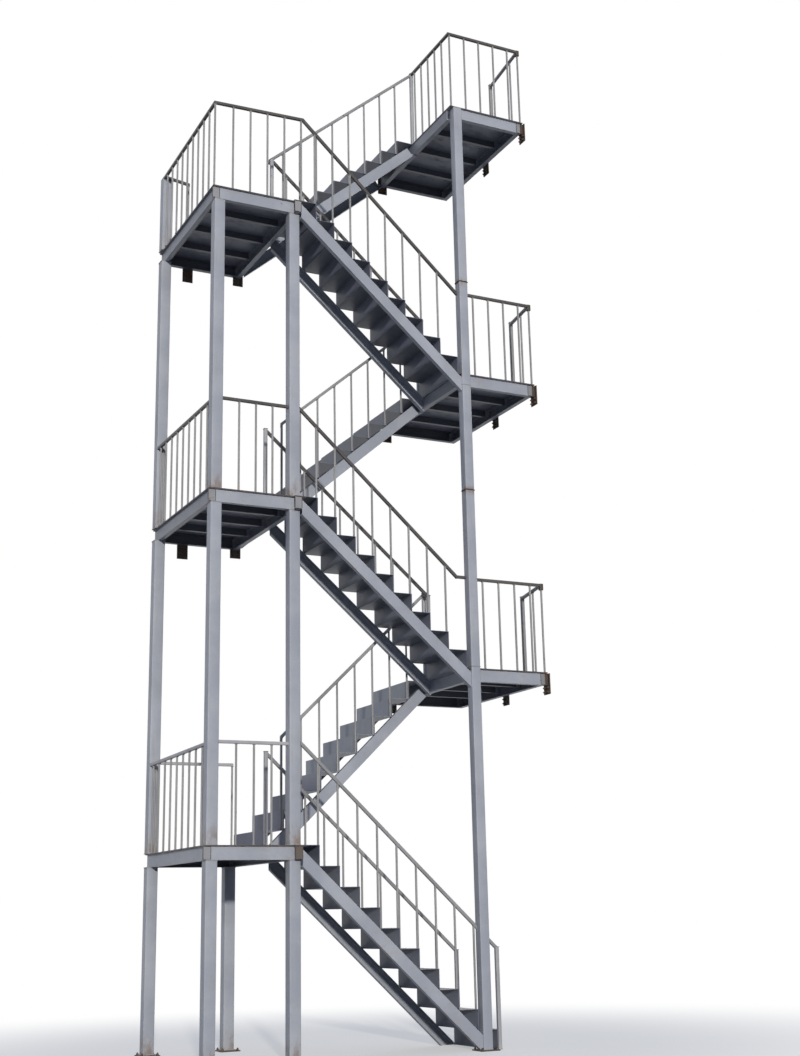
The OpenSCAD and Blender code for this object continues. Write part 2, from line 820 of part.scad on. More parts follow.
module post_door_side() {
    color(paint)
        translate([door_post_xy[0], door_post_xy[1], 0])
            square_tube(door_post_s, post_wall, base_t, level_3 - deck_t);
}

module wall_plates() {
    color(rusty) {
        for (level = [level_b, level_c]) {
            back_wall_plate(left_x0 + bracket_x, level, bracket_h);
            back_wall_plate(left_beam_x1 - beam_w / 2, level, wall_plate_h);
        }
        for (level = door_levels) {
            back_wall_plate(door_x0 + beam_w / 2, level, wall_plate_h);
            wing_wall_plate(door_y0 + beam_w / 2, level);
            wing_wall_plate(door_y0 + wing_fixing_y, level);
        }
    }
}

module frame_a() { color(paint) left_frame(level_a); }
module frame_b() { color(paint) left_frame(level_b); }
module frame_c() { color(paint) left_frame(level_c); }
module door_frame_1() { color(paint) door_frame(level_1); }
module door_frame_2() { color(paint) door_frame(level_2); }
module door_frame_3() { color(paint) door_frame(level_3); }
module deck_a() { color(dark_plate) left_deck(level_a); }
module deck_b() { color(dark_plate) left_deck(level_b); }
module deck_c() { color(dark_plate) left_deck(level_c); }
module door_deck_1() { color(dark_plate) door_deck(level_1, true); }
module door_deck_2() { color(dark_plate) door_deck(level_2, true); }
module door_deck_3() { color(dark_plate) door_deck(level_3, false); }
module stringers_1() { color(paint) flight_stringers(1); }
module stringers_2() { color(paint) flight_stringers(2); }
module stringers_3() { color(paint) flight_stringers(3); }
module stringers_4() { color(paint) flight_stringers(4); }
module stringers_5() { color(paint) flight_stringers(5); }
module stringers_6() { color(paint) flight_stringers(6); }
module steps_1() { color(worn_paint) flight_steps(1); }
module steps_2() { color(worn_paint) flight_steps(2); }
module steps_3() { color(worn_paint) flight_steps(3); }
module steps_4() { color(worn_paint) flight_steps(4); }
module steps_5() { color(worn_paint) flight_steps(5); }
module steps_6() { color(worn_paint) flight_steps(6); }
module railings_1() { color(worn_paint) ground_flight_railings(); }
module railing_2() { color(worn_paint) back_railing(2, newel_back, false); }
module railings_3() { color(worn_paint) middle_flight_railings(); }
module railing_4() { color(worn_paint) back_railing(4, newel_back, false); }
module railings_5() { color(worn_paint) upper_flight_railings(); }
module railing_6() {
    color(worn_paint) back_railing(6, along(6, left_x1 - newel_inset_top), true);
}

module railings_a() {
    color(worn_paint) {
        lower_landing_railings(level_a);
        back_landing_railing(level_a);
    }
}

module railings_b() {
    color(worn_paint)
        lower_landing_railings(level_b);
}

module railings_c() {
    color(worn_paint)
        top_landing_railings();
}

module door_railings_1() {
    color(worn_paint) {
        door_railings(level_1, door_post_x1, wing_rail_l);
        newel_link(door_deck_x0 + inner_rail_lead, level_1, newel_s);
    }
}

module door_railings_2() {
    color(worn_paint) {
        door_railings(level_2, door_post_x1, wing_rail_l);
        newel_link(door_deck_x0 + inner_rail_lead, level_2, newel_s);
    }
}

module door_railings_3() {
    color(worn_paint) {
        door_railings(level_3, door_deck_x0 + inner_rail_lead - rail_s / 2, wing_rail_top_l);
        door_left_railing(level_3);
    }
}

base_plates();
post_front_left();
post_front_right();
post_back_left();
post_back_right();
post_door_side();
wall_plates();
frame_a();
frame_b();
frame_c();
door_frame_1();
door_frame_2();
door_frame_3();
deck_a();
deck_b();
deck_c();
door_deck_1();
door_deck_2();
door_deck_3();
stringers_1();
stringers_2();
stringers_3();
stringers_4();
stringers_5();
stringers_6();
steps_1();
steps_2();
steps_3();
steps_4();
steps_5();
steps_6();
railings_1();
railing_2();
railings_3();
railing_4();
railings_5();
railing_6();
railings_a();
railings_b();
railings_c();
door_railings_1();
door_railings_2();
door_railings_3();
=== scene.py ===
"""Dresses the steel fire escape stair: weathered grey paint, chequer plate, rust, posts
with round corners, weld beads, anchor bolts, a pale studio floor, lamps and the camera.

Lengths are metres in the stair's own frame: X from the left landings to the door
landings, Y from the open front to the wall behind, Z up, and the origin at the foot of
the front left post.
"""

from __future__ import annotations

import json
import logging
import math
from dataclasses import dataclass, field, replace
from enum import Enum
from functools import cached_property
from typing import Any, Sequence

import bmesh
import bpy
from mathutils import Matrix, Vector
from mathutils.noise import noise

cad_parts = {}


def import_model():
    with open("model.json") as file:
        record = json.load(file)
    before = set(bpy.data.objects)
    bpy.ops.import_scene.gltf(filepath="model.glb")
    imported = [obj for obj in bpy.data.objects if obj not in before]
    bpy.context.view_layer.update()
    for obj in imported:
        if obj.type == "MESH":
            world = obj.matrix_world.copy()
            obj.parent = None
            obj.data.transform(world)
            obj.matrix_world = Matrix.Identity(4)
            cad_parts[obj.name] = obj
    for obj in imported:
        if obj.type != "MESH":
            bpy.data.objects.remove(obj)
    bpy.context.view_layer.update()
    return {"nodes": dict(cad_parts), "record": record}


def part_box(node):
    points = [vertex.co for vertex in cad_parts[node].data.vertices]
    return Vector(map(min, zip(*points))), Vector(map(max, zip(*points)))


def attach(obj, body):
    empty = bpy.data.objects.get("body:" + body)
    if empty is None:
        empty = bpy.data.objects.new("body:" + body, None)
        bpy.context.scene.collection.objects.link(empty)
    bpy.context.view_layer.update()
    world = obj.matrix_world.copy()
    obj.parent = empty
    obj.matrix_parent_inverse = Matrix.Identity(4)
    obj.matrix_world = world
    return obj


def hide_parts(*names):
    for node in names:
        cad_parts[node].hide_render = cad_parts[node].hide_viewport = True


log = logging.getLogger("stair")

Pair = tuple[float, float]
Point = tuple[float, float, float]
Colour = tuple[float, float, float]
Line = tuple[Vector, Vector]
Material = bpy.types.Material
Nodes = dict[str, bpy.types.Object]

MM = 0.001
LEFT_LANDINGS = ("a", "b", "c")
DOOR_LANDINGS = ("1", "2", "3")
FLIGHTS = (1, 2, 3, 4, 5, 6)
DECK_POSTS = ("post_front_left", "post_front_right", "post_back_left", "post_door_side")
POSTS = (*DECK_POSTS[:3], "post_back_right", "post_door_side")


class Slot(Enum):
    """The record's material slots."""

    POST = "post_paint"
    FRAME = "frame_paint"
    DECK = "deck_plate"
    STEP = "step_paint"
    RAILING = "railing_paint"
    RUST = "rusty_plate"


class Grain(Enum):
    """Which way dirt and rust have run on a painted piece."""

    UPRIGHT = (1.0, 1.0, 0.07)
    LEVEL = (0.35, 0.35, 0.5)
    PATCHY = (1.0, 1.0, 1.0)


class RailShading(Enum):
    """Painted light and shade of the handrails: dark for bars in shade, pale for lit bars, or
    between.
    """

    DARK = "dark"
    PALE = "pale"
    MIDDLE = "middle"


@dataclass(frozen=True)
class Cloud:
    """Noise of one grain, and the band of its values that makes soft patches."""

    scale: float
    detail: float = 4.0
    rough: float = 0.55
    band: Pair = (0.0, 1.0)
    stretch: Point | None = None
    distort: float = 0.0


@dataclass(frozen=True)
class Relief:
    """How deep a bump is, in metres, and how strongly it shows."""

    depth: float
    strength: float


class Graph:
    """The node tree of a material or world, with short calls for what the finishes use."""

    def __init__(self, owner: Material | bpy.types.World) -> None:
        """Clears the owner's nodes and adds an output.

        Args:
            owner: a new material or world.
        """
        owner.use_nodes = True
        self.owner = owner
        self.tree = owner.node_tree
        self.tree.nodes.clear()
        kind = "World" if isinstance(owner, bpy.types.World) else "Material"
        self.output = self.add("Output" + kind)

    @cached_property
    def place(self) -> Any:
        """Object coordinates, added once they are asked for."""
        return self.add("TexCoord").outputs["Object"]

    def add(self, kind: str, settings: dict[str, Any] | None = None, **sockets: Any) -> Any:
        """Adds a node.

        Args:
            kind: the node's type name without its ShaderNode prefix.
            settings: properties to set on the node.
            **sockets: input sockets by lower-case name or as i and a number, each a
                value or an output.

        Returns:
            The new node.
        """
        node = self.tree.nodes.new("ShaderNode" + kind)
        for key, value in (settings or {}).items():
            setattr(node, key, value)
        names = {s.name.lower().replace(" ", "_"): s for s in reversed(node.inputs)}
        for key, value in sockets.items():
            numbered = key[0] == "i" and key[1:].isdigit()
            socket = node.inputs[int(key[1:])] if numbered else names[key]
            if isinstance(value, bpy.types.NodeSocket):
                self.tree.links.new(value, socket)
            else:
                socket.default_value = value
        return node

    def cloud(self, cloud: Cloud) -> Any:
        """A cloud's noise as it is.

        Args:
            cloud: its grain.

        Returns:
            The noise's output.
        """
        vector = self.place
        if cloud.stretch is not None:
            vector = self.add("Mapping", vector=vector, scale=cloud.stretch).outputs[0]
        return self.add("TexNoise", vector=vector, scale=cloud.scale, detail=cloud.detail,
                        roughness=cloud.rough, distortion=cloud.distort).outputs["Fac"]

    def patches(self, cloud: Cloud) -> Any:
        """A cloud's noise cut to its band: 1 on the patches and 0 between them."""
        return self.window(self.cloud(cloud), *cloud.band)

    def window(self, value: Any, low: float, high: float, ends: Pair = (0.0, 1.0)) -> Any:
        """A value mapped smoothly to the ends, the first at low and the second at high."""
        return self.add("MapRange", {"interpolation_type": "SMOOTHSTEP", "clamp": True},
                        value=value, from_min=low, from_max=high, to_min=ends[0],
                        to_max=ends[1]).outputs[0]

    def math(self, operation: str, a: Any, b: Any) -> Any:
        """The result of one arithmetic operation on two values, held from 0 to 1."""
        return self.add("Math", {"operation": operation, "use_clamp": True},
                        i0=a, i1=b).outputs[0]

    def times(self, a: Any, b: Any) -> Any:
        """The product of two shares."""
        return self.math("MULTIPLY", a, b)

    def mix(self, share: Any, first: Any, second: Any) -> Any:
        """Two colours, each numbers or an output, mixed by a share of the second."""
        first, second = (c if isinstance(c, bpy.types.NodeSocket) else (*c, 1.0)
                         for c in (first, second))
        return self.add("Mix", {"data_type": "RGBA"}, i0=share, i6=first,
                        i7=second).outputs[2]

    def tint(self, colour: Any, other: Any, share: Any, strength: float) -> Any:
        """A colour with another laid over it, by a share times a strength."""
        return self.mix(self.times(share, strength), colour, other)

    def height(self) -> Any:
        """The shaded point's Z."""
        return self.add("SeparateXYZ", vector=self.place).outputs[2]

    def facing(self, axis: int) -> Any:
        """How far the surface faces along an axis, from -1 to 1."""
        normal = self.add("NewGeometry").outputs["Normal"]
        return self.add("SeparateXYZ", vector=normal).outputs[axis]

    def near(self, heights: Sequence[float], below: float, above: float) -> Any:
        """1 at some heights, falling to 0 at a distance below and above each.

        Args:
            heights: the heights, ten at most.
            below: how far the share reaches down.
            above: how far it reaches up.

        Returns:
            The share.
        """
        reach = max(heights) + above + below
        part = self.add("Math", {"operation": "DIVIDE"}, i0=self.height(), i1=reach)
        ramp = self.add("ValToRGB", i0=part.outputs[0])
        ramp.color_ramp.interpolation = "EASE"
        elements = ramp.color_ramp.elements
        elements.remove(elements[1])
        stops = []
        for height in sorted(heights):
            if height > below:
                stops.append(((height - below) / reach, 0.0))
            stops += [(height / reach, 1.0), ((height + above) / reach, 0.0)]
        for i, (place, share) in enumerate(stops):
            element = elements.new(place) if i else elements[0]
            element.position = place
            element.color = (share, share, share, 1.0)
        return ramp.outputs[0]

    def inside(self, low: Pair, high: Pair, soft: float = 10 * MM) -> Any:
        """1 inside a rectangle of the plan, from low to high X and Y, and 0 outside it."""
        axes = self.add("SeparateXYZ", vector=self.place).outputs
        return self.times(*(self.times(self.window(axes[i], low[i], low[i] + soft),
                                       self.window(axes[i], high[i], high[i] - soft))
                            for i in (0, 1)))

    def bump(self, height: Any, relief: Relief, normal: Any = None) -> Any:
        """A bumped normal from a height, laid over an earlier normal if one is given."""
        earlier = {} if normal is None else {"normal": normal}
        return self.add("Bump", height=height, distance=relief.depth,
                        strength=relief.strength, **earlier).outputs[0]

    def close(self, shader: Any) -> Any:
        """Links the last shader to the output and gives back the tree's owner."""
        self.tree.links.new(shader.outputs[0], self.output.inputs["Surface"])
        return self.owner

    def finish(self, colour: Any, roughness: Any, normal: Any, metallic: Any = 0.0) -> Material:
        """The material, with its tree closed by one shader."""
        return self.close(self.add("BsdfPrincipled", base_color=colour, roughness=roughness,
                                   metallic=metallic, normal=normal))


@dataclass(frozen=True)
class WornPaint:
    """Grey machine paint that has chalked in the sun, gathered dust and begun to rust.

    Rust spots begin where their noise is over spot_edge, less spot_drop for each whole
    rust_share. The other shares say how much of each layer shows.
    """

    name: str
    paint: Colour
    chalk: Colour
    dust: Colour = (0.34, 0.29, 0.23)
    rust: Colour = (0.115, 0.052, 0.026)
    primer: Colour = (0.17, 0.10, 0.07)
    # Colour of the painted shade among the joists and on shaded sides.
    shade_colour: Colour = (0.085, 0.096, 0.122)
    grain: Grain = Grain.UPRIGHT
    rust_at: tuple[float, ...] = ()
    rust_below: float = 0.20
    rust_above: float = 0.26
    # Plan rectangle, lowest and highest X and Y, inside which painted shade darkens the paint.
    shelter: tuple[Pair, Pair] | None = None
    # Heights over which painted shade on faces turned to the left grows from none to full.
    side_grime: Pair | None = None
    side_facing: Pair = (-0.6, -0.95)

    rust_share: float = 0.10
    dust_share: float = 0.35
    speckle_share: float = 0.22
    stain_share: float = 0.75
    shelter_share: float = 0.95
    shaded_side_share: float = 0.46
    bloom_share: float = 0.72
    joint_dust_share: float = 0.22

    chalked: Cloud = Cloud(1.7, 5.0, 0.6, (0.36, 0.68))
    runs: Cloud = Cloud(34.0, 3.0, 0.6, (0.47, 0.72))
    dusted: Cloud = Cloud(3.1, 4.0, 0.6, (0.42, 0.66))
    speckle: Cloud = Cloud(95.0, 2.0, 0.5, (0.62, 0.74))
    spots: Cloud = Cloud(11.0, 8.0, 0.72, distort=0.3)
    stain: Cloud = Cloud(26.0, 3.0, 0.6, (0.60, 0.80), (1.0, 1.0, 0.09))
    mottle: Cloud = Cloud(140.0)
    broken: Cloud = Cloud(12.0, 7.0, 0.70, (0.44, 0.60), (1.0, 1.0, 0.45))
    dents: Cloud = Cloud(2.6, 2.0)
    skin: Cloud = Cloud(210.0, 3.0)

    spot_edge: float = 0.76
    spot_drop: float = 0.6
    spot_soft: float = 0.035
    halo_out: float = 0.075
    halo_in: float = 0.01
    rough: float = 0.46
    dust_rough: float = 0.5
    rust_rough: float = 0.30
    dent_relief: Relief = Relief(4 * MM, 0.35)
    skin_relief: Relief = Relief(0.5 * MM, 0.35)
    spot_relief: Relief = Relief(0.9 * MM, 0.6)

    def build(self) -> Material:
        """Builds the paint: tone, chalk, dust runs, rust spots, joint rust, painted shade and
        dents.

        Returns:
            The material.
        """
        g = Graph(bpy.data.materials.new(self.name))
        colour = g.mix(g.patches(self.chalked), self.paint, self.chalk)
        runs = g.patches(replace(self.runs, stretch=self.grain.value))
        dusty = g.times(g.times(runs, g.patches(self.dusted)), self.dust_share)
        colour = g.mix(dusty, colour, self.dust)
        colour = g.tint(colour, self.primer, g.patches(self.speckle), self.speckle_share)
        edge = self.spot_edge - self.spot_drop * self.rust_share
        spotted = g.cloud(self.spots)
        spots = g.window(spotted, edge, edge + self.spot_soft)
        halo = g.window(spotted, edge - self.halo_out, edge + self.halo_in)
        stained = g.times(g.patches(self.stain), halo)
        colour = g.tint(colour, self.primer, stained, self.stain_share)
        mottled = g.mix(g.cloud(self.mottle), self.rust, self.primer)
        # Painted shade: darker inside the plan rectangle, among the joists under the deck.
        if self.shelter is not None:
            colour = g.tint(colour, self.shade_colour, g.inside(*self.shelter), self.shelter_share)
        # Painted shade: faces turned to the left are darker, more so higher up.
        if self.side_grime is not None:
            grime = g.times(g.window(g.facing(0), *self.side_facing),
                            g.window(g.height(), *self.side_grime))
            colour = g.tint(colour, self.shade_colour, grime, self.shaded_side_share)
        if self.rust_at:
            close = g.near(self.rust_at, self.rust_below, self.rust_above)
            bloom = g.times(close, g.patches(self.broken))
            colour = g.tint(colour, mottled, bloom, self.bloom_share)
            colour = g.tint(colour, self.dust, close, self.joint_dust_share)
        colour = g.mix(spots, colour, mottled)
        rough = g.math("ADD", g.times(spots, self.rust_rough),
                       g.math("ADD", self.rough, g.times(dusty, self.dust_rough)))
        normal = g.bump(g.cloud(self.dents), self.dent_relief)
        normal = g.bump(g.cloud(self.skin), self.skin_relief, normal)
        return g.finish(colour, rough, g.bump(spots, self.spot_relief, normal))


@dataclass(frozen=True)
class TroddenPaint:
    """Step plate paint: worn to dark metal along the walking line, dusty at the risers."""

    name: str
    paint: Colour
    chalk: Colour
    # Height below which the steps get a dark blue painted shadow; 0 gives none.
    shadow_top: float = 0.0
    # Colour of that painted shadow.
    shadow_blue: Colour = (0.052, 0.066, 0.138)
    steel: Colour = (0.105, 0.098, 0.092)
    rust: Colour = (0.120, 0.056, 0.028)
    dust: Colour = (0.36, 0.31, 0.25)

    level: Pair = (0.5, 0.9)
    shadow_fade: float = 0.35
    shadow_share: float = 0.86
    dust_share: float = 0.55
    runs_share: float = 0.22

    chalked: Cloud = Cloud(2.3, 5.0, 0.6, (0.35, 0.7))
    worn: Cloud = Cloud(7.5, 7.0, 0.7, (0.47, 0.56), distort=0.4)
    mottle: Cloud = Cloud(60.0, 5.0)
    dusted: Cloud = Cloud(5.0, band=(0.40, 0.62))
    runs: Cloud = Cloud(30.0, 3.0, 0.6, (0.52, 0.74), (1.0, 1.0, 0.10))
    spots: Cloud = Cloud(16.0, 8.0, 0.7, (0.685, 0.72))
    dents: Cloud = Cloud(3.5, 2.0)
    skin: Cloud = Cloud(260.0, 3.0)

    rough: float = 0.48
    worn_rough: float = 0.24
    dent_relief: Relief = Relief(4 * MM, 0.4)
    worn_relief: Relief = Relief(0.5 * MM, 0.5)
    skin_relief: Relief = Relief(0.4 * MM, 0.3)

    def build(self) -> Material:
        """Builds the paint; only faces that look up are worn, and low steps may get a bluish
        painted shadow.

        Returns:
            The material.
        """
        g = Graph(bpy.data.materials.new(self.name))
        level = g.window(g.facing(2), *self.level)
        colour = g.mix(g.patches(self.chalked), self.paint, self.chalk)
        # Painted shadow: steps below that height are tinted dark blue.
        if self.shadow_top:
            low = g.window(g.height(), self.shadow_top, self.shadow_top - self.shadow_fade)
            colour = g.tint(colour, self.shadow_blue, low, self.shadow_share)
        worn = g.times(g.patches(self.worn), level)
        colour = g.mix(worn, colour, g.mix(g.cloud(self.mottle), self.steel, self.rust))
        dusty = g.times(g.patches(self.dusted), level)
        colour = g.tint(colour, self.dust, dusty, self.dust_share)
        colour = g.tint(colour, self.steel, g.patches(self.runs), self.runs_share)
        spots = g.patches(self.spots)
        colour = g.mix(spots, colour, self.rust)
        bare = g.math("MAXIMUM", worn, spots)
        rough = g.math("ADD", self.rough, g.times(bare, self.worn_rough))
        normal = g.bump(g.cloud(self.dents), self.dent_relief)
        normal = g.bump(worn, self.worn_relief, normal)
        return g.finish(colour, rough, g.bump(g.cloud(self.skin), self.skin_relief, normal))


@dataclass(frozen=True)
class BareSteel:
    """Mill plate that has gone brown: dark scale, rust bloom, rubbed highlights, dust.

    The bloom begins where its noise is over bloom_edge, less bloom_drop for each whole
    bloom_share.
    """

    name: str
    scale: Colour = (0.060, 0.052, 0.046)
    bloom: Colour = (0.145, 0.075, 0.042)
    rubbed: Colour = (0.20, 0.19, 0.18)
    dust: Colour = (0.33, 0.28, 0.22)
    under: Colour | None = None

    bloom_share: float = 0.5
    rubbed_share: float = 0.25
    mottle_share: float = 0.6
    dust_share: float = 0.6
    under_shade: float = 0.72
    level: Pair = (0.5, 0.95)
    underside: Pair = (-0.5, -0.9)

    bloomed: Cloud = Cloud(8.0, 7.0, 0.68, distort=0.5)
    mottle: Cloud = Cloud(120.0)
    rubs: Cloud = Cloud(19.0, 5.0, 0.6, (0.55, 0.72))
    dusted: Cloud = Cloud(2.4, 5.0, 0.6, (0.38, 0.64))
    painted: Cloud = Cloud(2.1, 5.0, 0.6, (0.35, 0.68))
    skin: Cloud = Cloud(75.0, 5.0, 0.65)

    bloom_edge: float = 0.66
    bloom_drop: float = 0.32
    bloom_soft: float = 0.16
    rough: float = 0.50
    bloom_rough: float = 0.30
    skin_relief: Relief = Relief(1.2 * MM, 0.55)
    bloom_relief: Relief = Relief(0.6 * MM, 0.5)

    def build(self) -> Material:
        """Builds the steel, with paint on its underside if that has a colour.

        Returns:
            The material.
        """
        g = Graph(bpy.data.materials.new(self.name))
        low = self.bloom_edge - self.bloom_drop * self.bloom_share
        bloom = g.window(g.cloud(self.bloomed), low, low + self.bloom_soft)
        colour = g.mix(bloom, self.scale, self.bloom)
        colour = g.tint(colour, self.scale, g.cloud(self.mottle), self.mottle_share)
        rubbed = g.times(g.patches(self.rubs), self.rubbed_share)
        colour = g.mix(rubbed, colour, self.rubbed)
        up = g.facing(2)
        dusty = g.times(g.patches(self.dusted), g.window(up, *self.level))
        colour = g.tint(colour, self.dust, dusty, self.dust_share)
        if self.under is not None:
            shaded = tuple(c * self.under_shade for c in self.under)
            painted = g.mix(g.patches(self.painted), self.under, shaded)
            colour = g.mix(g.window(up, *self.underside), colour, painted)
        rough = g.math("ADD", self.rough, g.times(bloom, self.bloom_rough))
        normal = g.bump(g.cloud(self.skin), self.skin_relief)
        return g.finish(colour, rough, g.bump(bloom, self.bloom_relief, normal), rubbed)


class Finishes:
    """Every material of the stair, built once and handed out by slot."""

    PAINT: Colour = (0.318, 0.343, 0.396)
    CHALK: Colour = (0.400, 0.424, 0.474)
    FRAME_RUST: float = 0.13
    BEAM_SHELL: float = 66 * MM
    BEAM_FRONT: float = 125 * MM
    # Heights over which the frames' left faces get painted shade, from none to full.
    SHADED_SIDE_RISE: Pair = (2.6, 4.6)
    STEP: Colour = (0.232, 0.258, 0.318)
    STEP_CHALK: Colour = (0.300, 0.324, 0.378)
    # Painted shade: each flight's step colours are darkened to this share; flight 2 keeps
    # nearly all.
    STEP_SHADES: dict[int, float] = {1: 0.60, 2: 0.95, 3: 0.54, 4: 0.50, 5: 0.56, 6: 0.60}
    # How much of the blue the painted shade keeps, as a power of the share.
    SHADE_BLUE_KEPT: float = 0.88
    # The flight that gets the blue painted shadow on its low steps, and how far above landing
    # A's deck it reaches.
    SHADOWED_FLIGHT: int = 2
    SHADOW_RISE: float = 0.95
    BARS: tuple[Colour, Colour] = ((0.248, 0.250, 0.256), (0.340, 0.338, 0.340))
    # Painted light and shade of the handrails: paint, chalk and dust share for shaded, lit and
    # half-lit bars.
    HANDRAILS: dict[RailShading, tuple[Colour, Colour, float]] = {
        RailShading.DARK: ((0.046, 0.043, 0.044), (0.082, 0.075, 0.072), 0.15),
        RailShading.PALE: ((0.345, 0.352, 0.372), (0.450, 0.455, 0.470), 0.4),
        RailShading.MIDDLE: ((0.235, 0.240, 0.250), (0.330, 0.332, 0.340), 0.4),
    }

    def __init__(self, layout: Layout) -> None:
        """Builds the materials.

        Args:
            layout: the stair's levels, where rust gathers.
        """
        self.by_slot: dict[Slot, Material] = {
            Slot.POST: self.grey("post_paint", rust_share=0.08, rust_at=layout.joint_levels()),
            Slot.FRAME: self.grey("frame_paint", rust_share=self.FRAME_RUST,
                                  grain=Grain.LEVEL),
            Slot.STEP: self.step_paint("step_paint", 1.0),
            Slot.RAILING: self.bar_paint("railing_paint", *self.BARS),
            Slot.DECK: BareSteel("deck_plate", under=(0.265, 0.280, 0.345)).build(),
            Slot.RUST: BareSteel("rusty_plate", (0.056, 0.041, 0.033), (0.108, 0.060, 0.036),
                                 bloom_share=0.7, rubbed_share=0.10).build(),
        }
        self.rail_shading = {tone: self.bar_paint(f"handrail_{tone.value}", *colours)
                           for tone, colours in self.HANDRAILS.items()}
        self.landing_frames = self.beam_paint("landing_frame_paint", "frame_b")
        self.door_frames = self.beam_paint("door_frame_paint", "door_frame_2")
        self.door_post = self.grey("door_post_paint", rust_share=0.10,
                                   rust_at=layout.rusty_seams, rust_below=0.09,
                                   rust_above=0.06)
        shadow_top = layout.deck_tops["a"] + self.SHADOW_RISE
        self.steps = {
            f"steps_{n}": self.step_paint(f"step_paint_{n}", share,
                                          shadow_top if n == self.SHADOWED_FLIGHT else 0.0)
            for n, share in self.STEP_SHADES.items()
        }
        self.weld = WornPaint("weld_paint", (0.285, 0.285, 0.292), (0.380, 0.378, 0.380),
                              rust_share=0.25, dust_share=0.5, grain=Grain.PATCHY).build()
        self.dark_weld = BareSteel("dark_weld", (0.045, 0.038, 0.034), (0.095, 0.055, 0.035),
                                   rubbed_share=0.05).build()
        self.end_plate = BareSteel("end_plate_brown", (0.100, 0.082, 0.070),
                                   (0.160, 0.094, 0.058), rubbed_share=0.08).build()
        self.end_paint = WornPaint("end_plate_paint", (0.215, 0.220, 0.238),
                                   (0.310, 0.316, 0.335), rust_share=0.20, dust_share=0.6,
                                   grain=Grain.PATCHY).build()

    def grey(self, name: str, **wear: Any) -> Material:
        """The stair's grey paint, worn in the way of one kind of piece."""
        return WornPaint(name, self.PAINT, self.CHALK, **wear).build()

    @staticmethod
    def bar_paint(name: str, paint: Colour, chalk: Colour, dust: float = 0.4) -> Material:
        """Worn paint of the railings in one tone; the handrails' tones are painted light or
        shade.
        """
        return WornPaint(name, paint, chalk, rust_share=0.17, dust_share=dust,
                         grain=Grain.PATCHY).build()

    def step_paint(self, name: str, share: float, shadow_top: float = 0.0) -> Material:
        """One flight's paint, darkened to a share as painted shade, and with a bluish painted
        shadow up to a height.
        """
        # Painted shade: the colours are darkened to the share, the blue a little less.
        paint, chalk = ((c[0] * share, c[1] * share, c[2] * share ** self.SHADE_BLUE_KEPT)
                        for c in (self.STEP, self.STEP_CHALK))
        return TroddenPaint(name, paint, chalk, shadow_top=shadow_top).build()

    def beam_paint(self, name: str, node: str) -> Material:
        """A landing frame's paint: clean outside, with painted shade among the joists and on
        faces turned to the left higher up.

        Args:
            name: the material's name.
            node: a frame's CAD node, which gives the plan.

        Returns:
            The material.
        """
        low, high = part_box(node)
        # The plan inside the outer beams, where the painted shade falls on the joists.
        plan = ((low.x + self.BEAM_SHELL, low.y + self.BEAM_FRONT),
                (high.x - self.BEAM_SHELL, high.y + self.BEAM_FRONT))
        return self.grey(name, rust_share=self.FRAME_RUST, grain=Grain.LEVEL, shelter=plan,
                         side_grime=self.SHADED_SIDE_RISE)

    def of_node(self, node: str, slot: Slot) -> Material:
        """The finish of a CAD node.

        Args:
            node: the node's name.
            slot: its slot in the record.

        Returns:
            The material.
        """
        if node.startswith("frame_"):
            return self.landing_frames
        if node.startswith("door_frame_"):
            return self.door_frames
        return self.steps.get(node, self.by_slot[slot])

    def dress(self, nodes: Nodes, record: dict[str, Any]) -> None:
        """Puts each CAD node's finish in its slots.

        Args:
            nodes: the CAD nodes by name.
            record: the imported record, which says each node's slot.
        """
        for part in record["subparts"]:
            finish = self.of_node(part["node"], Slot(part["material_slot"]))
            materials = nodes[part["node"]].data.materials
            if not materials:
                materials.append(finish)
            for i in range(len(materials)):
                materials[i] = finish


def put(name: str, data: bpy.types.ID) -> bpy.types.Object:
    """Adds an object with its mesh, lamp or camera to the scene.

    Args:
        name: the object's name.
        data: what it shows or holds.

    Returns:
        The object.
    """
    obj = bpy.data.objects.new(name, data)
    bpy.context.scene.collection.objects.link(obj)
    return obj


def joined_mesh(node: bpy.types.Object, merge: float = 0.01 * MM) -> bmesh.types.BMesh:
    """Copies a CAD node's mesh, with its corners joined where they meet.

    Args:
        node: the node.
        merge: how near corners are made one.

    Returns:
        The copy, which the caller frees.
    """
    mesh = bmesh.new()
    mesh.from_mesh(node.data)
    bmesh.ops.remove_doubles(mesh, verts=mesh.verts, dist=merge)
    return mesh


def circle(centre: Vector, axis: Vector, radius: float, sides: int) -> list[Vector]:
    """Points round a circle.

    Args:
        centre: its centre.
        axis: unit vector square to its plane.
        radius: its radius.
        sides: how many points.

    Returns:
        The points.
    """
    side = axis.orthogonal().normalized()
    other = axis.cross(side)
    return [centre + (side * math.cos(a) + other * math.sin(a)) * radius
            for a in (2 * math.pi * k / sides for k in range(sides))]


def rounded_outline(half_w: float, half_d: float, radius: float,
                    steps: int = 5) -> list[Pair]:
    """Outline of a rectangle with round corners, about its centre.

    Args:
        half_w: half its width.
        half_d: half its depth.
        radius: the corners' radius.
        steps: points along each corner, two at least.

    Returns:
        The outline's points, counter-clockwise.
    """
    points = []
    for quarter, (i, j) in enumerate(((1, 1), (-1, 1), (-1, -1), (1, -1))):
        for step in range(steps):
            angle = math.pi / 2 * (quarter + step / (steps - 1))
            points.append((i * (half_w - radius) + radius * math.cos(angle),
                           j * (half_d - radius) + radius * math.sin(angle)))
    return points


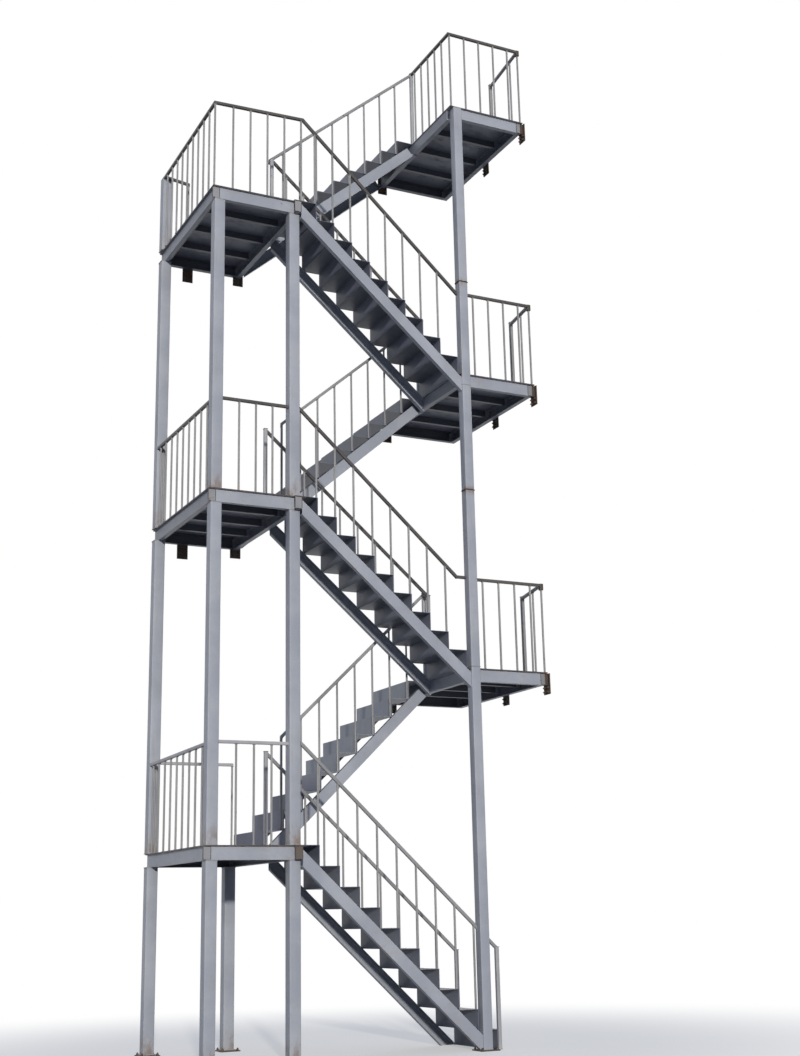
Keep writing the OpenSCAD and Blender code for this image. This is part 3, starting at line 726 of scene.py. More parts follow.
class Sketch:
    """A mesh in the making, which becomes one piece of the stair."""

    def __init__(self) -> None:
        """Starts an empty mesh."""
        self.mesh = bmesh.new()

    def points(self, places: Sequence[Sequence[float]]) -> list[bmesh.types.BMVert]:
        """Adds points to the mesh."""
        return [self.mesh.verts.new(place) for place in places]

    def rings(self, rings: Sequence[Sequence[Sequence[float]]]) -> None:
        """Joins rings of points, all of one length, into a skin closed at both ends.

        Args:
            rings: the rings from one end to the other.
        """
        made = [self.points(ring) for ring in rings]
        count = len(made[0])
        for low, high in zip(made, made[1:]):
            for i in range(count):
                j = (i + 1) % count
                self.mesh.faces.new((low[i], low[j], high[j], high[i]))
        self.mesh.faces.new(tuple(reversed(made[0])))
        self.mesh.faces.new(made[-1])

    def place(self, name: str, finish: Material, slot: Slot, smooth_angle: float = 35.0,
              replaces: Sequence[str] = ()) -> None:
        """Turns the sketch into a piece of the stair.

        Args:
            name: the piece's name.
            finish: its material.
            slot: the record's slot that the finish belongs to; not used.
            smooth_angle: edges under this many degrees are shaded smooth.
            replaces: CAD nodes that the piece stands for.
        """
        bmesh.ops.recalc_face_normals(self.mesh, faces=self.mesh.faces)
        limit = math.radians(smooth_angle)
        for edge in self.mesh.edges:
            edge.smooth = len(edge.link_faces) == 2 and edge.calc_face_angle(math.pi) < limit
        for face in self.mesh.faces:
            face.smooth = True
        data = bpy.data.meshes.new(name)
        self.mesh.to_mesh(data)
        self.mesh.free()
        data.materials.append(finish)
        obj = put(name, data)
        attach(obj, "root")
        if replaces:
            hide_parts(*replaces)
        log.info("%s: %d faces", name, len(data.polygons))


@dataclass(frozen=True)
class Layout:
    """Places of the stair's main pieces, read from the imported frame, and of its seams."""

    deck_tops: dict[str, float]
    frame_bottoms: dict[str, float]
    ground_plate_top: float
    rusty_seams: tuple[float, ...] = (6.122, 8.721)
    painted_seams: tuple[float, ...] = (4.064, 7.408)

    @classmethod
    def read(cls) -> Layout:
        """Reads the landings' levels and the base plates' top.

        Returns:
            The layout.
        """
        tops = {k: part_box(f"deck_{k}")[1].z for k in LEFT_LANDINGS}
        bottoms = {k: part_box(f"frame_{k}")[0].z for k in LEFT_LANDINGS}
        return cls(tops, bottoms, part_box("base_plates")[1].z)

    def joint_levels(self) -> tuple[float, ...]:
        """Heights where the posts meet the ground plates and the landings."""
        return (self.ground_plate_top, *self.deck_tops.values())


@dataclass
class WeldBeads:
    """Weld beads with their ripples, gathered into one mesh for each kind of place."""

    radius: float = 6 * MM
    ripple: float = 11 * MM
    sides: int = 6
    swell: float = 0.22
    uneven: float = 0.35
    grain: float = 90.0
    tail: float = 0.45
    seat: float = 0.4
    smooth_angle: float = 60.0
    sketch: Sketch = field(default_factory=Sketch)
    count: int = 0

    def bead(self, start: Vector, end: Vector, radius: float | None = None) -> None:
        """Lays one bead along a line.

        Args:
            start: where it starts.
            end: where it ends.
            radius: its radius, if not the usual one.
        """
        along = end - start
        steps = max(2, round(along.length / self.ripple))
        rings = []
        for i in range(steps + 1):
            centre = start + along * (i / steps)
            swell = 1.0 + self.swell * (1 if i % 2 else -1)
            swell += self.uneven * noise(centre * self.grain)
            if i in (0, steps):
                swell *= self.tail
            rings.append(circle(centre, along.normalized(), (radius or self.radius) * swell,
                                self.sides))
        self.sketch.rings(rings)
        self.count += 1

    def round_of(self, corners: Sequence[Point], radius: float | None = None) -> None:
        """Lays a bead from each corner to the next, and back to the first.

        Args:
            corners: the corners.
            radius: the beads' radius, if not the usual one.
        """
        places = [Vector(corner) for corner in corners]
        for a, b in zip(places, places[1:] + places[:1]):
            self.bead(a, b, radius)

    def loop(self, low: Vector, high: Vector, z: float, radius: float | None = None) -> None:
        """Lays four beads round a square bar at a height."""
        self.round_of(((low.x, low.y, z), (high.x, low.y, z), (high.x, high.y, z),
                       (low.x, high.y, z)), radius)

    def collar(self, low: Vector, high: Vector, z: float, side: float) -> None:
        """Lays a bead round a post's end, just inside its length."""
        self.loop(low, high, z + side * self.radius * self.seat)

    def outline(self, low: Vector, high: Vector) -> None:
        """Lays four beads round an upright plate that faces the open front."""
        self.round_of(((low.x, low.y, low.z), (high.x, low.y, low.z),
                       (high.x, low.y, high.z), (low.x, low.y, high.z)))

    def place(self, name: str, finish: Material, slot: Slot = Slot.FRAME) -> None:
        """Turns the beads so far into one piece and starts a new mesh.

        Args:
            name: the piece's name.
            finish: its material.
            slot: the record's slot that the finish belongs to.
        """
        self.sketch.place(name, finish, slot, self.smooth_angle)
        log.info("%s: %d beads", name, self.count)
        self.sketch = Sketch()
        self.count = 0


@dataclass
class PostSet:
    """The square posts: drawn tube with round corners, in lengths, welded at each end."""

    layout: Layout
    corner_radius: float = 9 * MM
    seam_bead: float = 9 * MM
    shortest: float = 0.1

    def lengths(self, name: str) -> list[Pair]:
        """Finds the lengths that a post stands in.

        Args:
            name: the post's CAD node.

        Returns:
            Lower and upper end of each length.
        """
        low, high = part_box(name)
        tops, bottoms = self.layout.deck_tops, self.layout.frame_bottoms
        ends = [(low.z, bottoms["a"]), (tops["a"], bottoms["b"]), (tops["b"], bottoms["c"]),
                (tops["c"], high.z)]
        if name == "post_door_side":
            ends = [(low.z, high.z)]
        return [(a, b) for a, b in ends if b <= high.z + MM and b - a > self.shortest]

    def post(self, name: str, finish: Material) -> None:
        """Builds one post in place of its CAD node.

        Args:
            name: the CAD node's name.
            finish: the post's paint.
        """
        low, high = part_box(name)
        x, y, half = (low.x + high.x) / 2, (low.y + high.y) / 2, (high.x - low.x) / 2
        outline = rounded_outline(half, half, self.corner_radius)
        sketch = Sketch()
        for ends in self.lengths(name):
            sketch.rings([[(x + u, y + v, z) for u, v in outline] for z in ends])
        sketch.place(f"{name}_tube", finish, Slot.POST, replaces=(name,))

    def build(self, finishes: Finishes, beads: WeldBeads, rusty: WeldBeads) -> None:
        """Builds all posts and asks for their weld beads.

        Args:
            finishes: the stair's materials.
            beads: collects the painted beads.
            rusty: collects the bare, rusty beads.
        """
        for name in POSTS:
            door = name == "post_door_side"
            self.post(name, finishes.door_post if door else finishes.by_slot[Slot.POST])
            low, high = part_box(name)
            for bottom, top in self.lengths(name):
                beads.collar(low, high, max(bottom, self.layout.ground_plate_top), 1.0)
                if name != "post_back_left" or top <= self.layout.deck_tops["c"]:
                    beads.collar(low, high, top, -1.0)
        low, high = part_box("post_door_side")
        for height in self.layout.rusty_seams:
            rusty.loop(low, high, height, self.seam_bead)
        for height in self.layout.painted_seams:
            beads.loop(low, high, height)


@dataclass(frozen=True)
class Bar:
    """One straight bar of a railing.

    The end planes are given as the place along the axis, and how far the plane runs on
    over half the bar's width and over half its depth.
    """

    centre: Vector
    along: Vector
    wide: Vector
    deep: Vector
    start: Point
    end: Point
    plumb: float = 0.999

    @property
    def upright(self) -> bool:
        """Whether the bar stands plumb."""
        return abs(self.along.z) > self.plumb

    @property
    def half_thin(self) -> float:
        """Half of the section's smaller side."""
        return min(self.wide.length, self.deep.length)

    def ring(self, plane: Point, shift: float, grow: float, radius: float,
             steps: int) -> list[Vector]:
        """The section's outline on a plane parallel to one of the ends.

        Args:
            plane: the end plane.
            shift: how far along the axis from it.
            grow: how far the outline stands outside the section.
            radius: its corners' radius.
            steps: points along each corner.

        Returns:
            The outline's points.
        """
        half_w, half_d = self.wide.length, self.deep.length
        wide, deep = self.wide.normalized(), self.deep.normalized()
        points = []
        for p, q in rounded_outline(half_w + grow, half_d + grow, radius, steps):
            place = plane[0] + plane[1] * p / half_w + plane[2] * q / half_d + shift
            points.append(self.centre + wide * p + deep * q + self.along * place)
        return points


@dataclass
class BarReader:
    """Finds the straight bars that a railing's CAD node is joined from, by their edges."""

    shortest: float = 45 * MM
    reach: float = 58 * MM
    line_gap: float = 1.5 * MM
    overlap: float = 10 * MM
    thinnest: float = 3 * MM
    twist: float = 4 * MM
    turn: float = 3e-3
    flat: float = math.radians(1)
    crease: float = math.radians(20)

    def edges(self, node: bpy.types.Object) -> list[Line]:
        """The node's straight edges, with those on one line joined.

        Args:
            node: a railing's CAD node.

        Returns:
            The ends of each line.
        """
        mesh = joined_mesh(node)
        bmesh.ops.dissolve_limit(mesh, angle_limit=self.flat, verts=mesh.verts,
                                 edges=mesh.edges)
        lines: list[list[Vector]] = []
        for edge in mesh.edges:
            if edge.calc_length() < self.shortest or edge.calc_face_angle(0.0) < self.crease:
                continue
            a, b = (v.co.copy() for v in edge.verts)
            along = (b - a).normalized()
            for line in lines:
                if (along.cross(line[2]).length < self.turn
                        and (a - line[0]).cross(line[2]).length < self.line_gap):
                    ends = sorted((line[0], line[1], a, b), key=lambda p, d=line[2]: p.dot(d))
                    line[0], line[1] = ends[0], ends[-1]
                    break
            else:
                lines.append([a, b, along])
        mesh.free()
        return [(line[0], line[1]) for line in lines]

    def beside(self, seed: Line, line: Line) -> bool:
        """Whether two lines can be edges of one bar.

        Args:
            seed: the first line.
            line: the second line.

        Returns:
            True where they are parallel, near, and beside each other.
        """
        along = (seed[1] - seed[0]).normalized()
        other = (line[1] - line[0]).normalized()
        if other.cross(along).length > self.turn:
            return False
        if (line[0] - seed[0]).cross(along).length > self.reach:
            return False
        first, second = (sorted(end.dot(along) for end in ends) for ends in (seed, line))
        return second[0] < first[1] + self.overlap and second[1] > first[0] - self.overlap

    def bar(self, lines: Sequence[Line]) -> Bar | None:
        """Makes a bar from its four edges.

        Args:
            lines: the edges, longest first.

        Returns:
            The bar, or None where the edges don't make one.
        """
        along = (lines[0][1] - lines[0][0]).normalized()
        spans = [sorted((a.dot(along), b.dot(along))) for a, b in lines]
        feet = [a - along * a.dot(along) for a, _ in lines]
        centre = (feet[0] + feet[1] + feet[2] + feet[3]) / 4
        first = feet[0] - centre
        sides = sorted(((f - centre, s) for f, s in zip(feet[1:], spans[1:])),
                       key=lambda pair: (pair[0] + first).length)
        wide, deep = ((side[0] - first) / 2 for side in sides[1:])
        if min(wide.length, deep.length) < self.thinnest:
            return None
        signs = ((-1, -1, spans[0]), (1, 1, sides[0][1]), (1, -1, sides[1][1]),
                 (-1, 1, sides[2][1]))
        planes = []
        for end, outermost in ((0, min), (1, max)):
            level = sum(s[end] for _, _, s in signs) / 4
            over_w = sum(i * s[end] for i, _, s in signs) / 4
            over_d = sum(j * s[end] for _, j, s in signs) / 4
            bent = sum(i * j * s[end] for i, j, s in signs) / 4
            if abs(bent) > self.twist:
                planes.append((outermost(s[end] for _, _, s in signs), 0.0, 0.0))
            else:
                planes.append((level, over_w, over_d))
        return Bar(centre, along, wide, deep, planes[0], planes[1])

    def bars(self, node: bpy.types.Object) -> list[Bar]:
        """All bars of a railing.

        Args:
            node: the railing's CAD node.

        Returns:
            The bars.
        """
        left = sorted(self.edges(node), key=lambda line: -(line[1] - line[0]).length)
        found = []
        while left:
            seed = left.pop(0)
            mates = [line for line in left if self.beside(seed, line)]
            left = [line for line in left if line not in mates]
            if len(mates) >= 3:
                bar = self.bar([seed, *mates[:3]])
                if bar is not None:
                    found.append(bar)
        return found


@dataclass
class Railings:
    """Railings in square tube with round corners, with a weld round each bar's ends."""

    reader: BarReader = field(default_factory=BarReader)
    corner_radius: float = 5 * MM
    corner_steps: int = 4
    thin_corner: float = 0.45
    chamfer: float = 1.5 * MM
    weld_spread: float = 5 * MM
    weld_rise: float = 7 * MM
    weld_edge: float = 0.3 * MM
    weld_shoulder: float = 0.7
    weld_angle: float = 50.0
    newel_half: float = 17.5 * MM
    wing_from_x: float = 3.5
    cap_side: float = 47 * MM
    cap_h: float = 78 * MM
    cap_over: float = 3 * MM
    cap_inset: float = 20 * MM
    cap_round: float = 5 * MM

    def tube(self, sketch: Sketch, bar: Bar) -> None:
        """Adds one bar, with its end edges broken, to a sketch.

        Args:
            sketch: the bars' mesh.
            bar: the bar.
        """
        radius = min(self.corner_radius, self.thin_corner * bar.half_thin)
        cut = self.chamfer
        levels = ((bar.start, 0.0, -cut), (bar.start, cut, 0.0), (bar.end, -cut, 0.0),
                  (bar.end, 0.0, -cut))
        sketch.rings([bar.ring(plane, shift, grow, radius, self.corner_steps)
                      for plane, shift, grow in levels])

    def weld(self, sketch: Sketch, bar: Bar, plane: Point, way: float) -> None:
        """Adds the weld round one end of a bar, which runs on the given way from there."""
        levels = ((0.0, self.weld_spread),
                  (self.weld_rise / 2, self.weld_spread * self.weld_shoulder),
                  (self.weld_rise, self.weld_edge))
        sketch.rings([bar.ring(plane, way * shift, grow, self.corner_radius / 2, 2)
                      for shift, grow in levels])

    def tone(self, node: str, bar: Bar) -> RailShading | None:
        """Which painted light or shade one bar of a railing gets.

        Args:
            node: the railing's CAD node.
            bar: the bar.

        Returns:
            The tone, or None for the usual paint of the thin bars.
        """
        # Painted light and shade: lit newels and landing A's rails are pale, flight rails,
        # railings_1 and wing rails half dark, the rest dark.
        door = node.startswith("door_")
        if bar.upright:
            thick = bar.half_thin > self.newel_half
            return RailShading.PALE if thick and not door else None
        if node == "railings_a":
            return RailShading.PALE
        along_wing = door and abs(bar.along.y) > 0.9 and bar.centre.x > self.wing_from_x
        if node.startswith("railing_") or node == "railings_1" or along_wing:
            return RailShading.MIDDLE
        return RailShading.DARK

    def corner_caps(self, finish: Material) -> None:
        """Sets a short cap on the outer corner of each door landing's handrail.

        Args:
            finish: the caps' material.
        """
        sketch, half = Sketch(), self.cap_side / 2
        for key in DOOR_LANDINGS:
            low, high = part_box(f"door_railings_{key}")
            x, y = high.x - self.cap_inset, low.y + self.cap_inset
            top = high.z + self.cap_over
            foot = top - self.cap_h
            levels = ((foot, -self.cap_round), (foot + self.cap_round, 0.0),
                      (top - self.cap_round, 0.0), (top, -self.cap_round))
            sketch.rings([[(x + u, y + v, z) for u, v in
                           rounded_outline(half + grow, half + grow, 2 * self.cap_round)]
                          for z, grow in levels])
        sketch.place("handrail_corner_caps", finish, Slot.RUST)

    def build(self, nodes: Nodes, finishes: Finishes) -> None:
        """Builds every railing's handrails, upright bars, welds and caps.

        Args:
            nodes: the CAD nodes by name.
            finishes: the stair's materials.
        """
        thin = finishes.by_slot[Slot.RAILING]
        welds = Sketch()
        for name in sorted(n for n in nodes if "railing" in n):
            sketches: dict[RailShading | None, Sketch] = {None: Sketch()}
            for bar in self.reader.bars(nodes[name]):
                self.tube(sketches.setdefault(self.tone(name, bar), Sketch()), bar)
                if bar.upright:
                    self.weld(welds, bar, bar.start, 1.0)
                    self.weld(welds, bar, bar.end, -1.0)
            sketches.pop(None).place(f"{name}_bars", thin, Slot.RAILING, replaces=(name,))
            for tone, sketch in sketches.items():
                sketch.place(f"{name}_{tone.value}_bars", finishes.rail_shading[tone],
                             Slot.RAILING)
        welds.place("railing_welds", thin, Slot.RAILING, self.weld_angle)
        self.corner_caps(finishes.dark_weld)


@dataclass
class AnchorBolts:
    """Anchors through the base plates and wall plates: washer, hexagon nut and stud.

    Radii inside the thread and at the chamfers are shares of the stud's and nut's own.
    """

    washer_r: float = 15 * MM
    washer_t: float = 3 * MM
    washer_sides: int = 20
    nut_r: float = 13.5 * MM
    nut_t: float = 13 * MM
    nut_chamfer: Pair = (1.5 * MM, 0.9)
    stud_r: float = 8 * MM
    stud_out: float = 9 * MM
    stud_sides: int = 12
    stud_end: Pair = (1 * MM, 0.8)
    pitch: float = 2 * MM
    crest_at: float = 0.3
    root_at: float = 0.8
    root: float = 0.87
    smooth_angle: float = 40.0
    wall_plate_t: float = 12 * MM
    widest_hole: float = 40 * MM
    along_hole: float = 0.01
    square_on: float = 0.999

    def turned(self, sketch: Sketch, base: Vector, out: Vector, radii: Sequence[Pair],
               sides: int) -> None:
        """Adds a turned shape standing on a plate, from each ring's radius and height."""
        sketch.rings([circle(base + out * h, out, r, sides) for r, h in radii])

    def anchor(self, sketch: Sketch, base: Vector, out: Vector) -> None:
        """Adds one anchor at a hole.

        Args:
            sketch: the mesh.
            base: the hole's centre on the plate's face.
            out: unit vector away from the plate.
        """
        seat = self.washer_t
        top = seat + self.nut_t
        chamfer, narrow = self.nut_chamfer
        self.turned(sketch, base, out, ((self.washer_r, 0.0), (self.washer_r, seat)),
                    self.washer_sides)
        self.turned(sketch, base, out, ((self.nut_r, seat), (self.nut_r, top - chamfer),
                                        (self.nut_r * narrow, top)), 6)
        thread = [(self.stud_r, top)]
        for i in range(round(self.stud_out / self.pitch)):
            z = top + i * self.pitch
            thread += [(self.stud_r, z + self.crest_at * self.pitch),
                       (self.stud_r * self.root, z + self.root_at * self.pitch)]
        over, narrow = self.stud_end
        thread.append((self.stud_r * narrow, top + self.stud_out + over))
        self.turned(sketch, base, out, thread, self.stud_sides)

    def holes(self, node: bpy.types.Object, axis: int) -> list[Vector]:
        """Centres of the bolt holes that run through a node along one axis.

        Args:
            node: the CAD node with the plates.
            axis: 0, 1 or 2 for X, Y or Z.

        Returns:
            A centre for each hole, halfway through its plate.
        """
        mesh = joined_mesh(node)
        walls = [f for f in mesh.faces if abs(f.normal[axis]) < self.along_hole
                 and max(abs(f.normal[i]) for i in range(3)) < self.square_on]
        seen: set[Any] = set()
        centres = []
        for face in walls:
            if face in seen:
                continue
            points, queue = [], [face]
            while queue:
                f = queue.pop()
                if f in seen:
                    continue
                seen.add(f)
                points += [v.co for v in f.verts]
                queue += [n for e in f.edges for n in e.link_faces
                          if n not in seen and abs(n.normal[axis]) < self.along_hole]
            low, high = (Vector([end(p[i] for p in points) for i in range(3)])
                         for end in (min, max))
            if max(high - low) < self.widest_hole:
                centres.append((low + high) / 2)
        mesh.free()
        return centres

    def build(self, nodes: Nodes, finish: Material) -> None:
        """Builds the anchors of all plates.

        Args:
            nodes: the CAD nodes by name.
            finish: the anchors' material.
        """
        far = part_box("wall_plates")[1]
        ground_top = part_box("base_plates")[1].z
        groups = (
            ("ground_anchor_bolts", (("base_plates", 2, ground_top, 1.0),)),
            ("wall_anchor_bolts", (("wall_plates", 1, far.y - self.wall_plate_t, -1.0),
                                   ("wall_plates", 0, far.x - self.wall_plate_t, -1.0))),
        )
        for name, plates in groups:
            sketch = Sketch()
            for node, axis, face, way in plates:
                out = Vector((0.0, 0.0, 0.0))
                out[axis] = way
                holes = self.holes(nodes[node], axis)
                for hole in holes:
                    hole[axis] = face
                    self.anchor(sketch, hole, out)
                log.info("%s: %d along axis %d", name, len(holes), axis)
            sketch.place(name, finish, Slot.RUST, self.smooth_angle)


@dataclass
class ChequerPattern:
    """The raised bars of chequer plate on the landings' decks."""

    pitch: float = 30 * MM
    bar_l: float = 25 * MM
    bar_w: float = 7 * MM
    bar_h: float = 1.3 * MM
    waist: float = 0.5
    ridge: float = 0.55
    lean: float = math.radians(45)
    margin: float = 18 * MM
    tab_out: float = 34 * MM

    def bar(self, sketch: Sketch, x: float, y: float, z: float, turned: bool) -> None:
        """Adds one raised bar, pointed at both ends.

        Args:
            sketch: the mesh.
            x: its centre in X.
            y: its centre in Y.
            z: the plate's top.
            turned: whether it leans the other way.
        """
        lean = self.lean if turned else -self.lean
        c, s = math.cos(lean), math.sin(lean)
        tip, side = self.bar_l / 2, self.bar_w / 2
        waist, ridge = tip * self.waist, tip * self.ridge
        outline = ((-tip, 0.0), (-waist, -side), (waist, -side), (tip, 0.0), (waist, side),
                   (-waist, side))
        low = sketch.points([(x + u * c - v * s, y + u * s + v * c, z) for u, v in outline])
        a, b = sketch.points([(x + u * c, y + u * s, z + self.bar_h) for u in (-ridge, ridge)])
        for corners in ((low[1], low[2], b, a), (low[4], low[5], a, b), (low[0], low[1], a),
                        (low[5], low[0], a), (low[2], low[3], b), (low[3], low[4], b),
                        tuple(reversed(low))):
            sketch.mesh.faces.new(corners)

    def deck(self, node: str, finish: Material) -> None:
        """Covers one deck with bars.

        Args:
            node: the deck's CAD node.
            finish: the deck's material.
        """
        low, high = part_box(node)
        y0 = low.y if "door" in node else low.y + self.tab_out
        sketch = Sketch()
        columns = int((high.x - low.x - 2 * self.margin) / self.pitch)
        rows = int((high.y - y0 - 2 * self.margin) / self.pitch)
        for i in range(columns):
            for j in range(rows):
                x = low.x + self.margin + (i + 0.5) * self.pitch
                y = y0 + self.margin + (j + 0.5) * self.pitch
                if not self.taken(x, y):
                    self.bar(sketch, x, y, high.z, (i + j) % 2 == 0)
        sketch.place(f"{node}_pattern", finish, Slot.DECK)

    def taken(self, x: float, y: float) -> bool:
        """Whether a place on the decks is within a bar's pitch of a post."""
        boxes = (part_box(name) for name in DECK_POSTS)
        return any(low.x - self.pitch < x < high.x + self.pitch
                   and low.y - self.pitch < y < high.y + self.pitch for low, high in boxes)

    def build(self, finish: Material) -> None:
        """Covers all decks."""
        for node in (*(f"deck_{k}" for k in LEFT_LANDINGS),
                     *(f"door_deck_{k}" for k in DOOR_LANDINGS)):
            self.deck(node, finish)


@dataclass
class FrameDetail:
    """Closing plates on the landing beams' front ends, with the welds round them."""

    plate_w: float = 84 * MM
    door_plate_w: float = 60 * MM
    skin: float = 2 * MM
    gap: float = 2 * MM
    left_back: float = 58 * MM
    brown_landing: str = "a"

    def end_plate(self, sketch: Sketch, welds: WeldBeads, xs: Pair, y: float, zs: Pair) -> None:
        """Adds the closing plate's face on a beam's front end, with its weld.

        Args:
            sketch: the plates' mesh.
            welds: collects the beads.
            xs: the beam end's lowest and highest X.
            y: its front.
            zs: its lowest and highest Z.
        """
        x0, x1 = xs[0] + self.gap, xs[1] - self.gap
        z0, z1 = zs[0] + self.gap, zs[1] - self.gap
        sketch.rings([[(x0, depth, z0), (x1, depth, z0), (x1, depth, z1), (x0, depth, z1)]
                      for depth in (y - self.skin, y)])
        welds.outline(Vector((x0, y, z0)), Vector((x1, y, z1)))

    def build(self, finishes: Finishes, dark: WeldBeads) -> None:
        """Builds the closing plates and asks for their beads.

        Args:
            finishes: the stair's materials.
            dark: collects the dark beads.
        """
        brown, painted = Sketch(), Sketch()
        for key in LEFT_LANDINGS:
            low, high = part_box(f"frame_{key}")
            right = brown if key == self.brown_landing else painted
            self.end_plate(right, dark, (high.x - self.plate_w, high.x), low.y,
                           (low.z, high.z))
            self.end_plate(painted, dark, (low.x, low.x + self.plate_w),
                           low.y + self.left_back, (low.z, high.z))
        for key in DOOR_LANDINGS:
            low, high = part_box(f"door_frame_{key}")
            self.end_plate(painted, dark, (high.x - self.door_plate_w, high.x), low.y,
                           (low.z, high.z))
        brown.place("beam_end_plate_brown", finishes.end_plate, Slot.RUST)
        painted.place("beam_end_plates", finishes.end_paint, Slot.FRAME)


@dataclass
class StepWelds:
    """Short beads that hold the folded steps to the stringers."""

    bead_r: float = 4 * MM
    length: float = 42 * MM
    inset: float = 8 * MM
    plate_t: Pair = (3 * MM, 7 * MM)

    def build(self, nodes: Nodes, beads: WeldBeads) -> None:
        """Lays a bead at each riser's foot over each stringer, but none in the ground.

        Args:
            nodes: the CAD nodes by name.
            beads: collects the beads.
        """
        for n in FLIGHTS:
            low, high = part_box(f"steps_{n}")
            corners = {(round(v.co.x, 3), round(v.co.z, 3))
                       for v in nodes[f"steps_{n}"].data.vertices}
            for x, z in self.riser_feet(corners, n):
                if z < self.bead_r:
                    continue
                for y in (low.y + self.inset, high.y - self.inset - self.length):
                    beads.bead(Vector((x, y, z)), Vector((x, y + self.length, z)), self.bead_r)

    def riser_feet(self, corners: set[Pair], n: int) -> list[Pair]:
        """Lower corners of the risers, from a flight's section.

        Args:
            corners: the section's corners in X and Z.
            n: the flight's number.

        Returns:
            A place in X and Z for each riser after the first.
        """
        lowest: dict[float, float] = {}
        for x, z in corners:
            lowest[x] = min(z, lowest.get(x, z))
        xs = sorted(lowest)
        thin, thick = self.plate_t
        back = 1 if n % 2 == 0 else 0
        return [(pair[back], lowest[pair[back]]) for pair in zip(xs, xs[1:])
                if thin < pair[1] - pair[0] < thick
                and abs(lowest[pair[0]] - lowest[pair[1]]) < MM]


@dataclass(frozen=True)
class Viewpoint:
    """The camera that saw the stair: where it stood, how it was held, and its lens.

    Angles are in degrees. The focal length, axis, width and height are in pixels.
    """

    place: Point = (-5.026, -14.619, 1.357)
    yaw: float = 26.967
    pitch: float = 15.172
    roll: float = -1.334
    focal: float = 1493.055
    axis_x: float = 416.517
    axis_y: float = 513.381
    width: int = 800
    height: int = 1056
    sensor_mm: float = 24.0
    farthest: float = 200.0

    def build(self) -> None:
        """Makes the camera and gives it to the scene."""
        data = bpy.data.cameras.new("viewpoint")
        data.sensor_fit = "VERTICAL"
        data.sensor_height = self.sensor_mm
        data.lens = self.focal / self.height * self.sensor_mm
        data.shift_x = -(self.axis_x - self.width / 2) / self.height
        data.shift_y = (self.axis_y - self.height / 2) / self.height
        data.clip_end = self.farthest
        camera = put("viewpoint", data)
        camera.matrix_world = self.matrix()
        bpy.context.scene.camera = camera

    def matrix(self) -> Matrix:
        """The camera's place and directions.

        Returns:
            A matrix whose columns are right, up and back, with the place.
        """
        yaw, pitch, roll = (math.radians(v) for v in (self.yaw, self.pitch, self.roll))
        forward = Vector((math.sin(yaw) * math.cos(pitch), math.cos(yaw) * math.cos(pitch),
                          math.sin(pitch)))
        right = Vector((math.cos(yaw), -math.sin(yaw), 0.0))
        up = right.cross(forward)
        axes = (right * math.cos(roll) + up * math.sin(roll),
                up * math.cos(roll) - right * math.sin(roll), -forward)
        matrix = Matrix(axes).transposed().to_4x4()
        matrix.translation = Vector(self.place)
        return matrix


@dataclass(frozen=True)
class Lamp:
    """A far lamp: the way its light goes, its strength, width in degrees and colour."""

    name: str
    travel: Point
    strength: float
    width: float
    colour: Colour

    def build(self) -> None:
        """Adds the lamp to the scene."""
        data = bpy.data.lights.new(self.name, "SUN")
        data.energy = self.strength
        data.angle = math.radians(self.width)
        data.color = self.colour
        turn = Vector(self.travel).to_track_quat("-Z", "Y")
        put(self.name, data).rotation_euler = turn.to_euler()


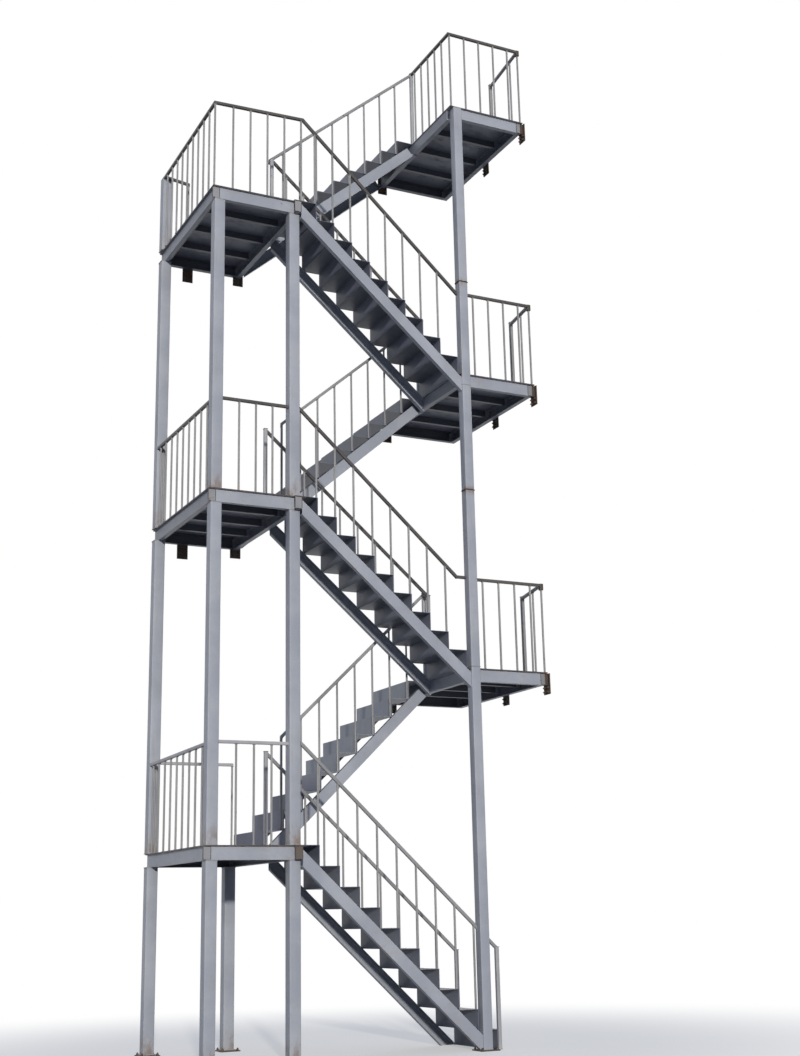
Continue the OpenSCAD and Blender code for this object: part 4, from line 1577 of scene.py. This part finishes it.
@dataclass
class Studio:
    """A pale floor, a low warm key lamp from the front, soft fill and a white surround."""

    key: Lamp = Lamp("key_lamp", (0.31, 1.0, -0.21), 2.42, 2.0, (1.0, 0.955, 0.89))
    fill: Lamp = Lamp("fill_lamp", (-0.55, -0.70, -0.55), 0.45, 40.0, (0.93, 0.96, 1.0))
    floor_size: float = 120.0
    floor_centre: Point = (2.0, 1.0, 0.0)
    floor_seen: Colour = (0.86, 0.855, 0.84)
    floor_bounce: Colour = (0.24, 0.235, 0.23)
    floor_glow: Pair = (0.42, 1.0)
    floor_fade: Pair = (2.5, 9.0)
    sky: Colour = (0.66, 0.82, 1.18)
    sky_strength: float = 0.28
    white: Colour = (1.0, 1.0, 1.0)

    def floor(self) -> None:
        """Lays the floor: it fades to white round the stair and throws little light back up."""
        half = self.floor_size / 2
        data = bpy.data.meshes.new("studio_floor")
        corners = [(x * half, y * half, 0.0) for x, y in ((-1, -1), (1, -1), (1, 1), (-1, 1))]
        data.from_pydata(corners, [], [(0, 1, 2, 3)])
        g = Graph(bpy.data.materials.new("studio_floor"))
        seen = self.seen_directly(g)
        lit = g.add("BsdfDiffuse", color=g.mix(seen, self.floor_bounce, self.floor_seen))
        glow = g.add("Emission", color=(*self.white, 1.0), strength=1.0)
        middle = tuple(-c for c in self.floor_centre)
        from_middle = g.add("Mapping", vector=g.place, location=middle).outputs[0]
        away = g.add("VectorMath", {"operation": "LENGTH"}, i0=from_middle).outputs["Value"]
        share = g.times(g.window(away, *self.floor_fade, self.floor_glow), seen)
        data.materials.append(g.close(g.add("MixShader", i0=share, i1=lit.outputs[0],
                                            i2=glow.outputs[0])))
        obj = put("studio_floor", data)

    @staticmethod
    def seen_directly(g: Graph) -> Any:
        """1 for rays from the camera, or by gloss or through glass, and 0 for others.

        Args:
            g: the tree that the share is for.

        Returns:
            The share.
        """
        rays = g.add("LightPath").outputs
        share = g.math("MAXIMUM", rays["Is Camera Ray"], rays["Is Glossy Ray"])
        return g.math("MAXIMUM", share, rays["Is Transmission Ray"])

    def surround(self) -> None:
        """Sets the world: white where it is seen, a soft blue grey where it lights."""
        g = Graph(bpy.data.worlds.new("surround"))
        sky = tuple(c * self.sky_strength for c in self.sky)
        colour = g.mix(self.seen_directly(g), sky, self.white)
        bpy.context.scene.world = g.close(g.add("Background", color=colour, strength=1.0))

    def build(self) -> None:
        """Sets up floor, lamps, surround and view."""
        self.floor()
        self.key.build()
        self.fill.build()
        self.surround()
        bpy.context.scene.view_settings.view_transform = "Standard"


def main() -> None:
    """Loads the frame, dresses it, adds the small pieces and sets the studio."""
    logging.basicConfig(level=logging.INFO, format="%(name)s: %(message)s")
    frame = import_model()
    nodes = frame["nodes"]
    layout = Layout.read()
    finishes = Finishes(layout)
    finishes.dress(nodes, frame["record"])
    beads = WeldBeads()
    dark = WeldBeads(radius=4.4 * MM, ripple=9 * MM)
    PostSet(layout).build(finishes, beads, dark)
    beads.place("post_welds", finishes.weld)
    FrameDetail().build(finishes, dark)
    dark.place("dark_welds", finishes.dark_weld, Slot.RUST)
    StepWelds().build(nodes, beads)
    beads.place("step_welds", finishes.weld)
    Railings().build(nodes, finishes)
    AnchorBolts().build(nodes, finishes.by_slot[Slot.RUST])
    ChequerPattern().build(finishes.by_slot[Slot.DECK])
    Studio().build()
    Viewpoint().build()


if __name__ == "__main__":
    main()
